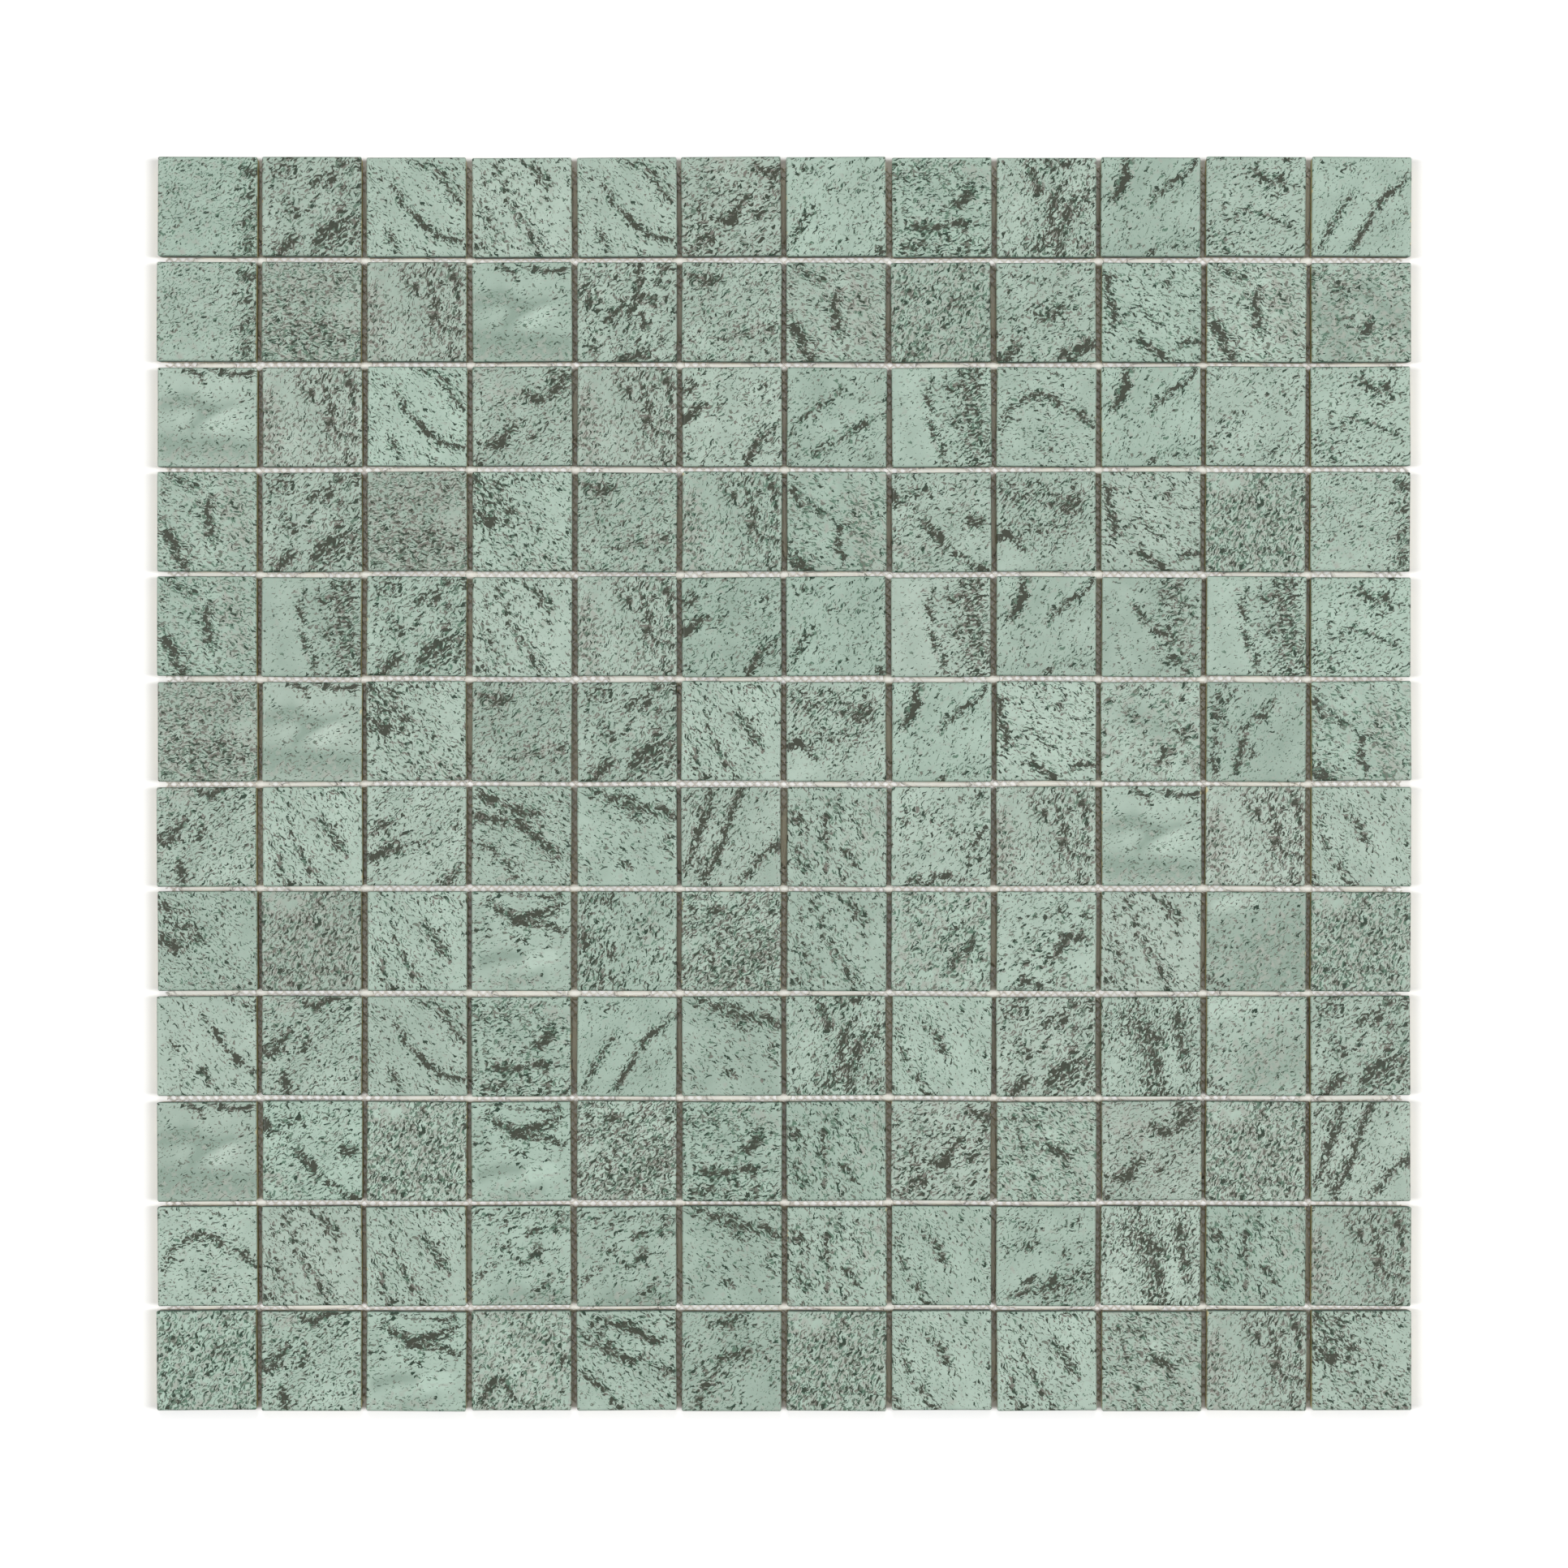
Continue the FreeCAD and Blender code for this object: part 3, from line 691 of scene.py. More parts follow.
BANDS_DOWN = Print(-32, 0.28, 0.12, (
    vein((0.3, 0.1, 0.3), (0.4, 0.13, 0.4), (0.5, 0.15, 0.5), (0.62, 0.2, 0.7), (0.72, 0.27, 0.5),
         (0.8, 0.3, 0.4), (0.9, 0.25, 0.4)),
    band(1.3, 0.28, (0.22, 0.05), (0.5, 0.15), (0.8, 0.3)),
    vein((0.15, 0.15, 0.3), (0.27, 0.22, 0.4)),
    vein((0.05, 0.22, 0.35), (0.15, 0.28, 0.5), (0.28, 0.38, 0.4), (0.42, 0.45, 0.6), (0.6, 0.48, 0.35)),
    band(1.3, 0.28, (0.1, 0.25), (0.42, 0.45), (0.7, 0.52), (0.95, 0.6)),
    vein((0.9, 0.57, 0.4), (0.95, 0.68, 0.3)),
    vein((0.35, 0.3, 0.2), (0.42, 0.42, 0.3)),
    vein((0.05, 0.62, 0.35), (0.15, 0.68, 0.4), (0.28, 0.78, 0.4), (0.33, 0.85, 0.4), (0.4, 0.95, 0.8)),
    band(1.1, 0.2, (0.05, 0.62), (0.28, 0.78), (0.4, 0.95)),
    band(1.4, 0.22, (0.7, 0.02), (0.95, 0.08)),
    band(2.6, -0.15, (0.1, 0.9), (0.25, 0.92)),
))
DIAGONAL = Print(36, 0.285, 0.25, (
    vein((0.42, 0.14, 0.5), (0.55, 0.08, 0.35)),
    band(1.8, 0.24, (0.3, 0.15), (0.62, 0.05)),
    vein((0.12, 0.57, 0.3), (0.2, 0.56, 0.4)),
    vein((0.35, 0.48, 0.3), (0.42, 0.44, 0.4), (0.6, 0.44, 0.25)),
    vein((0.18, 0.76, 0.5), (0.28, 0.7, 0.4)),
    blot(0.15, 0.87, 0.35),
    blot(0.15, 0.35, 0.35),
    band(2.2, 0.26, (0.15, 0.95), (0.42, 0.5), (0.7, 0.42)),
    band(2.4, -0.22, (0.7, 0.75), (0.95, 0.9)),
    blot(0.88, 0.78, 0.4),
))
STEEP_BELT = Print(60, 0.41, 0.12, (
    band(3.6, 0.24, (0.35, 0.25), (0.5, 0.4), (0.55, 0.65), (0.6, 0.92)),
    vein((0.48, 0.3, 0.2), (0.5, 0.42, 0.3)),
    vein((0.56, 0.58, 0.3), (0.57, 0.72, 0.2)),
    blot(0.35, 0.3, 0.35),
    vein((0.78, 0.2, 0.25), (0.8, 0.4, 0.35), (0.85, 0.55, 0.2)),
    band(1.5, 0.22, (0.78, 0.1), (0.8, 0.4), (0.85, 0.7)),
    band(1.8, -0.25, (0.74, 0.6), (0.75, 0.85)),
    band(2.5, -0.14, (0.1, 0.6), (0.3, 0.9)),
))
SPLIT = Print(36, 0.24, 0.1, (
    vein((0.3, 0.42, 0.3), (0.4, 0.37, 0.35)),
    band(1.1, 0.28, (0.6, 0.22), (0.82, 0.15)),
    vein((0.68, 0.5, 0.3), (0.78, 0.45, 0.35), (0.85, 0.4, 0.25)),
    vein((0.6, 0.65, 0.25), (0.58, 0.73, 0.5), (0.52, 0.8, 0.4)),
    vein((0.25, 0.78, 0.4), (0.37, 0.72, 0.5)),
    vein((0.15, 0.9, 0.35), (0.3, 0.87, 0.3), (0.45, 0.85, 0.3), (0.55, 0.8, 0.4)),
    band(1.2, 0.24, (0.1, 0.92), (0.3, 0.84), (0.56, 0.76)),
    band(3.6, 0.4, (0.55, 1.0), (0.75, 0.78), (0.95, 0.7)),
    band(1.6, 0.24, (0.06, 0.42), (0.4, 0.38)),
    band(1.6, 0.2, (0.1, 0.12), (0.35, 0.2)),
    band(2.0, -0.24, (0.1, 0.66), (0.5, 0.55)),
))
EYEBROW = Print(10, 0.18, 0.12, (
    vein((0.1, 0.15, 0.35), (0.2, 0.1, 0.35)),
    vein((0.3, 0.03, 0.25), (0.6, 0.05, 0.3), (0.75, 0.08, 0.35), (0.9, 0.05, 0.7)),
    vein((0.25, 0.2, 0.35), (0.4, 0.25, 0.45), (0.55, 0.3, 0.5), (0.65, 0.25, 0.5), (0.8, 0.2, 0.45),
         (0.88, 0.15, 0.7)),
    vein((0.42, 0.32, 0.3), (0.6, 0.35, 0.4), (0.75, 0.38, 0.4), (0.95, 0.42, 0.5)),
    band(1.8, 0.32, (0.22, 0.18), (0.5, 0.3), (0.9, 0.2)),
    band(1.4, 0.24, (0.42, 0.32), (0.75, 0.37), (0.95, 0.42)),
    blot(0.55, 0.48, 0.5),
    band(1.2, 0.2, (0.4, 0.45), (0.6, 0.5)),
    band(1.6, 0.26, (0.05, 0.3), (0.2, 0.42)),
    band(2.8, -0.2, (0.2, 0.78), (0.85, 0.75)),
    wash(1.6, -0.8, (0.12, 0.72), (0.32, 0.66), (0.5, 0.67)),
    wash(1.5, -0.5, (0.4, 0.95), (0.7, 0.88)),
    wash(1.6, 0.7, (0.6, 0.72), (0.8, 0.68)),
    veil(2.5, 0.5, (0.1, 0.9), (0.6, 0.95)),
))
CORNER_ARC = Print(55, 0.25, 0.65, (
    vein((0.15, 0.95, 0.4), (0.15, 0.8, 0.4), (0.22, 0.73, 0.5), (0.33, 0.7, 0.35), (0.38, 0.8, 0.35),
         (0.45, 0.92, 0.25)),
    vein((0.93, 0.6, 0.4), (0.93, 0.48, 0.5)),
    band(2.2, 0.2, (0.6, 0.15), (0.95, 0.4)),
    band(1.3, 0.2, (0.15, 0.9), (0.24, 0.74), (0.4, 0.82)),
    band(1.8, 0.28, (0.55, 0.95), (0.7, 0.98)),
    wash(2.2, 0.5, (0.45, 0.55), (0.6, 0.6)),
))

PRINTS = {
    "A": SCATTER,
    "B": KNOTS,
    "b": moved(
        KNOTS, -0.2, 0.29, band(1.4, 0.32, (0.78, 0.2), (0.9, 0.02)),
        vein((0.6, 0.05, 0.3), (0.58, 0.3, 0.35), (0.55, 0.45, 0.3)), blot(0.08, 0.24, 0.4), cover=0.39,
    ),
    "C": SNAKE,
    "c": moved(SNAKE, 0.22, 0.0, vein((0.12, 0.48, 0.25), (0.2, 0.54, 0.4)), cover=0.18),
    "D": STEPS,
    "d": moved(STEPS, 0.02, 0.28, band(1.2, 0.26, (0.62, 0.05), (0.9, 0.06))),
    "E": CLOUD,
    "F": THICKET,
    "G": POOL,
    "H": HOOK,
    "h": moved(
        HOOK, 0.26, -0.15, band(2.0, 0.2, (0.2, 0.45), (0.25, 0.95)),
        vein((0.3, 0.85, 0.5), (0.33, 0.83, 0.8)), blot(0.23, 0.85, 0.5), blot(0.1, 0.95, 0.45),
        cover=0.38,
    ),
    "W": moved(
        BARE_HOOK, -0.18, 0.23, band(1.6, 0.36, (0.65, 0.97), (0.95, 0.82)),
        vein((0.66, 0.88, 0.5), (0.78, 0.98, 0.45)), vein((0.82, 0.9, 0.3), (0.95, 0.8, 0.45)),
        blot(0.03, 0.95, 0.5),
    ),
    "k": moved(
        HOOK, -0.13, -0.24, vein((0.22, 0.78, 0.4), (0.24, 0.92, 0.45)),
        band(1.3, 0.26, (0.22, 0.76), (0.26, 0.96)),
    ),
    "I": SQUIGGLE,
    "j": moved(
        SQUIGGLE, 0.0, 0.25, blot(0.05, 0.2, 1.0), blot(0.08, 0.28, 0.8),
        vein((0.1, 0.32, 0.6), (0.17, 0.38, 0.5)), cover=0.265,
    ),
    "J": CLUSTER,
    "m": moved(CLUSTER, 0.0, 0.06, blot(0.65, 0.22, 0.4), cover=0.325),
    "L": DRIFT,
    "M": SWARM,
    "N": FINE_CLOUD,
    "O": SMUDGE,
    "P": EDGE_VEIN,
    "p": moved(
        EDGE_VEIN, 0.03, 0.2, blot(0.18, 0.38, 0.4), blot(0.2, 0.1, 0.35),
        band(1.3, 0.22, (0.3, 0.68), (0.6, 0.6)), cover=0.35,
    ),
    "Q": CURTAIN,
    "q": HIGH_CURTAIN,
    "R": KNOTTED,
    "S": STREAKS,
    "T": SPRIG,
    "U": LOOSE_NET,
    "V": TWIN_VEINS,
    "X": RIM_VEIN,
    "Y": GREY_CLOUD,
    "Z": ARC,
    "a": DIAGONAL,
    "e": EYEBROW,
    "f": SHELF,
    "g": BANDS_UP,
    "K": LOW_HOOK,
    "l": CORNER_ARC,
    "o": moved(STEPS, -0.18, 0.22, blot(0.95, 0.55, 0.6), cover=0.285),
    "r": PLUMB,
    "s": VEINED_CLOUD,
    "t": PATCHED_CLOUD,
    "u": MOTTLED,
    "w": RIGHT_BLOT,
    "x": PLAIN,
    "y": STEEP_BELT,
    "z": MID_BAND,
    "0": BANDS_DOWN,
    "1": SPLIT,
    "2": DRIFTS,
    "3": SPARSE,
    "4": BLOT,
    "5": BROWN_CLOUD,
    "6": GREEN_CLOUD,
    "7": FLANK,
    "8": TANGLE,
    "9": LEAN,
}
# Which print lies where, row by row from the top of the sheet.
LAYOUT = (
    "ABCDChLMSTUV",
    "AEFGbNIOWXIY",
    "GFCHFP2QZT3U",
    "IBEJNFjR4X5A",
    "IQBDFPLQTqQU",
    "EGJNBd4TX67j",
    "kdp8fg9KFGFo",
    "m5dertDswDx5",
    "ckCMVfSoByxB",
    "GR5etM9huH5g",
    "ZDdzzf9o1y9F",
    "Okel0a5oduFJ",
)
# The prints whose colours are a little greener, or warmer, than the rest.
GREENER, WARMER = "AILMOTUVYjlrs2", "BDEFHbghxy"


def set_mesh(mesh, points, faces, smooth):
    """Fills a mesh from arrays. faces is a list of arrays with one row of corners a face, and smooth has
    one value for each of those arrays."""
    corners = np.concatenate([face.ravel() for face in faces]).astype(np.int32)
    sizes = np.concatenate([np.full(len(face), face.shape[1]) for face in faces])
    starts = np.concatenate([[0], np.cumsum(sizes)[:-1]]).astype(np.int32)
    soft = np.concatenate([np.full(len(face), value) for face, value in zip(faces, smooth)])
    mesh.vertices.add(len(points))
    mesh.vertices.foreach_set("co", points.astype(np.float32).ravel())
    mesh.loops.add(len(corners))
    mesh.loops.foreach_set("vertex_index", corners)
    mesh.polygons.add(len(starts))
    mesh.polygons.foreach_set("loop_start", starts)
    mesh.polygons.foreach_set("use_smooth", soft)
    mesh.update(calc_edges=True)


def add_piece(name, points, faces, smooth, material):
    """A new object at the origin with its place in its mesh, riding on the sheet."""
    mesh = bpy.data.meshes.new(name)
    set_mesh(mesh, points, faces, smooth)
    mesh.materials.append(material)
    piece = bpy.data.objects.new(name, mesh)
    bpy.context.scene.collection.objects.link(piece)
    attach(piece, "root")
    return piece


def add_values(piece, name, values):
    """Keeps one number, or three, for each point of the piece under a name that its material reads."""
    kind, field = ("FLOAT_VECTOR", "vector") if values.ndim == 2 else ("FLOAT", "value")
    layer = piece.data.attributes.new(name, kind, "POINT")
    layer.data.foreach_set(field, values.astype(np.float32).ravel())


def node_points(name):
    """The points of a CAD node, in metres, each once."""
    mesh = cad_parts[name].data
    points = np.zeros(len(mesh.vertices) * 3)
    mesh.vertices.foreach_get("co", points)
    return np.unique(points.reshape(-1, 3).round(7), axis=0)


def read_tiles(name):
    """Where the tiles of a CAD row lie: their middles, their turns, half the width of one, and the heights
    of their backs and faces.

    A row has as many tiles as there are rows, and is cut midway between them. A tile's middle is the
    middle of its box. Its turn is a quarter of the angle of minus the sum of its upper points raised to
    the fourth power, as complex numbers about that middle."""
    points = node_points(name)
    low, high = points.min(0), points.max(0)
    width = high[1] - low[1]
    pitch = (high[0] - low[0] - width) / (len(ROWS) - 1)
    column = np.floor((points[:, 0] - low[0] - width / 2) / pitch + 0.5).astype(int)
    middles, turns, halves = [], [], []
    for number in range(len(ROWS)):
        mine = points[column == number]
        middle = (mine.min(0) + mine.max(0))[:2] / 2
        top = mine[mine[:, 2] > high[2] - TINY, :2] - middle
        turn = np.angle(-((top[:, 0] + 1j * top[:, 1]) ** 4).sum()) / 4
        flat = (mine[:, :2] - middle) @ np.array(
            ((math.cos(turn), -math.sin(turn)), (math.sin(turn), math.cos(turn)))
        )
        middles.append(middle)
        turns.append(turn)
        halves.append(np.abs(flat).max())
    return np.array(middles), np.array(turns), float(np.mean(halves)), low[2], high[2]


def round_corners(across, along, half, radius):
    """Bends a square grid so that each square ring in a corner becomes an arc.

    In a corner a point's larger offset from the corner circle's middle becomes its distance from that
    middle, and the smaller one, as a share of the larger, its share of an eighth of a turn."""
    inner = half - radius
    u, v = np.abs(across) - inner, np.abs(along) - inner
    corner = (u > 0) & (v > 0)
    large, small = np.maximum(u, v), np.minimum(u, v)
    turn = np.where(corner, math.pi / 4 * small / np.maximum(large, 1e-9), 0)
    near, far = large * np.cos(turn), large * np.sin(turn)
    x = np.where(corner, inner + np.where(u >= v, near, far), np.abs(across))
    y = np.where(corner, inner + np.where(u >= v, far, near), np.abs(along))
    return np.copysign(x, across), np.copysign(y, along)


RIM_LINES = (0, 0.08, 0.22, 0.45, 0.72)  # a face's grid near its rim, in shares of the edge's reach
WALL_RINGS = (0.035, 0.15, 0.45, 0.84, 1.0)  # the rings down a wall, in shares of its height
EDGE_POWER = 3.2  # how steeply a face falls at its rim
GROOVE_SLOPE = 0.2  # the width of a groove's sloping side, as a share of the groove's width


def make_tile(settings, half, base, top):
    """One tile about its own axis: points, faces, which faces are smooth, and each point's way in from
    the rim, or, on the walls, minus its way down from it.

    The face is a grid that is denser at its rim. Its height falls by the edge drop times the share left of
    the edge's reach, raised to the edge's power. The walls are the face's rim carried down and in by the
    draft. The back is flat but for two grooves, whose depth is a smooth step of the distance from
    their middles, and it is made of strips across the tile."""
    reach = settings.edge_reach
    steps = np.array(RIM_LINES) * reach
    flat = np.linspace(-half + reach, half - reach, settings.face_cells + 1)
    lines = np.concatenate([-half + steps, flat, half - steps[::-1]])
    across, along = (a.ravel() for a in np.meshgrid(lines, lines, indexing="ij"))
    way_in = half - np.maximum(np.abs(across), np.abs(along))
    left = 1 - np.minimum(way_in / reach, 1)
    x, y = round_corners(across, along, half, settings.corner_radius)
    face = np.stack([x, y, top - settings.edge_drop * left ** EDGE_POWER], 1)

    count = len(lines)
    number = np.arange(count * count).reshape(count, count)
    grid = np.stack([number[:-1, :-1], number[1:, :-1], number[1:, 1:], number[:-1, 1:]], -1)
    rim = np.concatenate([number[:-1, 0], number[-1, :-1], number[:0:-1, -1], number[0, :0:-1]])
    wall = top - settings.edge_drop - base
    rings = []
    for share in WALL_RINGS:
        lean = 1 - share * wall * math.tan(settings.wall_draft) / half
        ring = face[rim] * (lean, lean, 1)
        ring[:, 2] = base + wall * (1 - share)
        rings.append(ring)
    away = np.minimum(
        np.abs(rings[-1][:, 0] - settings.key_spacing / 2),
        np.abs(rings[-1][:, 0] + settings.key_spacing / 2),
    )
    step = np.clip((settings.key_width / 2 - away) / (GROOVE_SLOPE * settings.key_width) + 0.5, 0, 1)
    rings[-1][:, 2] += settings.key_depth * step * step * (3 - 2 * step)

    points = np.concatenate([face] + rings)
    loops = [rim] + [len(face) + k * len(rim) + np.arange(len(rim)) for k in range(len(rings))]
    walls = [
        np.stack([upper, lower, np.roll(lower, -1), np.roll(upper, -1)], -1)
        for upper, lower in zip(loops, loops[1:])
    ]
    foot, side = loops[-1], count - 1
    near, far = foot[:side + 1], foot[2 * side:3 * side + 1][::-1]
    strips = np.stack([near[1:-2], far[1:-2], far[2:-1], near[2:-1]], -1)
    left_end = np.concatenate([near[[1, 0]], foot[:3 * side:-1], far[[0, 1]]])
    right_end = np.concatenate([far[[-2, -1]], foot[side + 1:2 * side][::-1], near[[-1, -2]]])
    faces = [grid.reshape(-1, 4), *walls, strips, left_end[None], right_end[None]]
    smooth = [True] * (1 + len(walls)) + [False] * 3
    inward = np.concatenate([way_in] + [np.full(len(rim), -share * wall) for share in WALL_RINGS])
    return points, faces, smooth, inward


TILE_MM = 23.7  # a print's places are shares of this width
FAR_MM = 6.0  # veins further off than this don't matter
PRINT_STEP_MM = 7.3  # how far apart two prints lie in the grains' own space
VEIN_COVER = 0.2  # how much a vein adds to the grains beside it


def stroke_distance(points, places, wide=False):
    """Each place's distance in mm from a stroke: the least distance from its straight pieces, less, for a
    vein, the half width there, which runs evenly from one point to the next."""
    best = np.full(len(places), np.inf)
    for here, there in zip(points, points[1:]):
        start, run = np.array(here[:2]), np.subtract(there[:2], here[:2])
        share = np.clip(((places - start) @ run) / max(run @ run, 1e-9), 0, 1)
        gap = np.linalg.norm(places - start - share[:, None] * run, axis=1) * TILE_MM
        if wide:
            gap -= here[2] + share * (there[2] - here[2])
        best = np.minimum(best, gap)
    return best


def draw_print(design, number, places):
    """The values of a print at these places: grain cover, vein gap in mm, haze, tone, and where each place
    lies in the grains' own space, in mm, turned by the flow and set apart from the other prints.

    A band, veil or wash adds its gain times e to the minus square of distance over reach. A vein adds to
    the grains in the same way, with a reach of 1 mm."""
    sums = {
        kind: np.full(len(places), value)
        for kind, value in (("cover", design.cover), ("haze", design.haze), ("tone", 0.0))
    }
    vein_gap = np.full(len(places), FAR_MM)
    for stroke in design.strokes:
        if stroke.kind == "vein":
            vein_gap = np.minimum(vein_gap, stroke_distance(stroke.points, places, wide=True))
        else:
            away = stroke_distance(stroke.points, places)
            sums[stroke.kind] = sums[stroke.kind] + stroke.gain * np.exp(-((away / stroke.reach) ** 2))
    sums["cover"] = sums["cover"] + VEIN_COVER * np.exp(-(np.maximum(vein_gap, 0) ** 2))
    turn = math.radians(design.flow)
    x, y = places[:, 0] * TILE_MM, -places[:, 1] * TILE_MM
    grain = np.stack(
        [x * math.cos(turn) + y * math.sin(turn), y * math.cos(turn) - x * math.sin(turn),
         np.full(len(places), PRINT_STEP_MM * number)], 1,
    )
    return sums["cover"], vein_gap, sums["haze"], sums["tone"], grain


WAVES, WAVE_MM = 5, (6, 20)  # how many waves a face has, and how long they are


def soft_waves(places, rng):
    """A soft uneven surface from 0 to 1: half, plus half the mean of some sine waves in chance directions."""
    total = np.zeros(len(places))
    for _ in range(WAVES):
        turn, phase = rng.uniform(0, 2 * math.pi, 2)
        pace = 2 * math.pi / (rng.uniform(*WAVE_MM) * MM)
        total += np.sin((places[:, 0] * math.cos(turn) + places[:, 1] * math.sin(turn)) * pace + phase)
    return 0.5 + 0.5 * total / WAVES


# How far the glaze has run down the walls, in mm: on the near and far sides, then on left and right. Its dark
# colour there is partly painted shade, so the near and far walls carry most of it.
LONG_RUN, SHORT_RUN = (3.6, 5.2), (0.3, 1.1)
TONE_SPREAD = 0.12  # how much lighter or deeper the glaze is from tile to tile
# Tiles go from 0, the greenest, to 1, the warmest: what a print adds, and how much tiles differ beyond it.
PRINT_WARMTH, WARMTH_SPREAD = 0.14, 0.09


class MOSAIC_OT_tile_rows(bpy.types.Operator):
    """Builds the rows of glazed tiles over the frame's rows, each tile where the frame has it"""

    bl_idname = "mosaic.tile_rows"
    bl_label = "Tile rows"

    def execute(self, context):
        settings = context.scene.mosaic_tiles
        material = glazed_porcelain(settings)
        # How the kiln turned out each tile's colours is drawn apart from everything else.
        rng, kiln = np.random.default_rng(SEED), np.random.default_rng(SEED + 3)
        for row, name in enumerate(ROWS):
            middles, turns, half, base, top = read_tiles(name)
            tile, faces, smooth, inward = make_tile(settings, half, base, top)
            fade = np.clip(inward / settings.edge_reach, 0, 1)
            near_or_far = np.abs(tile[:, 1]) > np.abs(tile[:, 0])
            # The rim's painted shade reaches further in on the near and far edges, which face away from the
            # lamps, than on left and right.
            rim = inward / MM + np.where(near_or_far, 0, settings.lit_side_rim / MM)
            points, values = [], []
            for column, (middle, turn) in enumerate(zip(middles, turns)):
                letter = LAYOUT[row][column]
                laid = tile.copy()
                laid[:, 2] -= settings.face_relief * fade * soft_waves(tile, rng)
                stray = rng.uniform(-1, 1, 2) * settings.print_scatter / (2 * half)
                places = np.stack([tile[:, 0], -tile[:, 1]], 1) / (2 * half) + 0.5 + stray
                cover, gap, haze, tone, grain = draw_print(
                    PRINTS[letter], list(PRINTS).index(letter), places
                )
                run = np.where(near_or_far, rng.uniform(*LONG_RUN), rng.uniform(*SHORT_RUN))
                tone = tone + rng.normal(0, TONE_SPREAD)
                lean = PRINT_WARMTH * ((letter in WARMER) - (letter in GREENER))
                warmth = np.clip(0.5 + lean + kiln.normal(0, WARMTH_SPREAD), 0, 1)
                warmth = np.full(len(tile), warmth)
                values.append((cover, gap, haze, tone, grain, -inward / MM - run, rim, warmth))
                spin = np.array(
                    ((math.cos(turn), math.sin(turn)), (-math.sin(turn), math.cos(turn)))
                )
                laid[:, :2] = laid[:, :2] @ spin + middle
                points.append(laid)
            offset = np.arange(len(points))[:, None, None] * len(tile)
            joined = [(face[None] + offset).reshape(-1, face.shape[1]) for face in faces]
            piece = add_piece(
                f"glazed_tiles_{name[-2:]}", np.concatenate(points), joined, smooth, material,
            )
            layers = (
                "grain_cover", "vein_gap", "haze", "tone", "grain_place", "bare", "rim", "warmth",
            )
            for layer, found in zip(layers, zip(*values)):
                add_values(piece, layer, np.concatenate(found))
            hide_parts(name)
        return {"FINISHED"}


def add(tree, kind, inputs=None, **settings):
    """Adds a node with its settings. inputs maps a socket to a value or to the output that feeds it."""
    made = tree.nodes.new(kind)
    for name, value in settings.items():
        setattr(made, name, value)
    for socket, value in (inputs or {}).items():
        if isinstance(value, bpy.types.NodeSocket):
            tree.links.new(value, made.inputs[socket])
        else:
            made.inputs[socket].default_value = value
    return made


def new_material(name):
    """An empty node material and its tree, with the shader and the output in place."""
    material = bpy.data.materials.new(name)
    material.use_nodes = True
    material.node_tree.nodes.clear()
    shader = add(material.node_tree, "ShaderNodeBsdfPrincipled")
    add(material.node_tree, "ShaderNodeOutputMaterial", {"Surface": shader.outputs[0]})
    return material, material.node_tree, shader


def opaque(rgb):
    """A colour property's value with the fourth number that a colour socket takes."""
    return (*rgb, 1.0)


def noise(tree, place, size, detail, **more):
    """Noise from 0 to 1 whose features are about as wide as size, in the unit of place. more sets its
    other sockets."""
    return add(
        tree, "ShaderNodeTexNoise", {"Vector": place, "Scale": 1 / size, "Detail": detail, **more}
    ).outputs[0]


def ramp(tree, value, low, high, start=0.0, stop=1.0):
    """Goes evenly from start to stop as the value goes from low to high, and stays level past either."""
    return add(
        tree, "ShaderNodeMapRange",
        {"Value": value, "From Min": low, "From Max": high, "To Min": start, "To Max": stop},
    ).outputs[0]


def times_plus(tree, value, factor, plus, clamp=False):
    """The value times a factor, plus a number or another value, and kept from 0 to 1 if clamp says so."""
    return add(
        tree, "ShaderNodeMath", {0: value, 1: factor, 2: plus}, operation="MULTIPLY_ADD",
        use_clamp=clamp,
    ).outputs[0]


def mixed(tree, share, under, over):
    """One colour laid over another, of which it hides a share from 0 to 1."""
    return add(
        tree, "ShaderNodeMix", {0: share, MIX_UNDER: under, MIX_OVER: over}, data_type="RGBA"
    ).outputs[MIX_OUT]


# The glaze's patterns, in mm: each is about as wide as this. Flecks and grains are longer along the flow.
FLECK_MM, GRAIN_MM = (0.85, 0.5), (1.2, 0.6)
WANDER_MM, CLUMP_MM, RAGGED_MM, CLOUD_MM, PATCH_MM, HUE_MM, DRIP_MM = 2.2, 2.3, 0.6, 7.0, 1.5, 1.3, 1.6


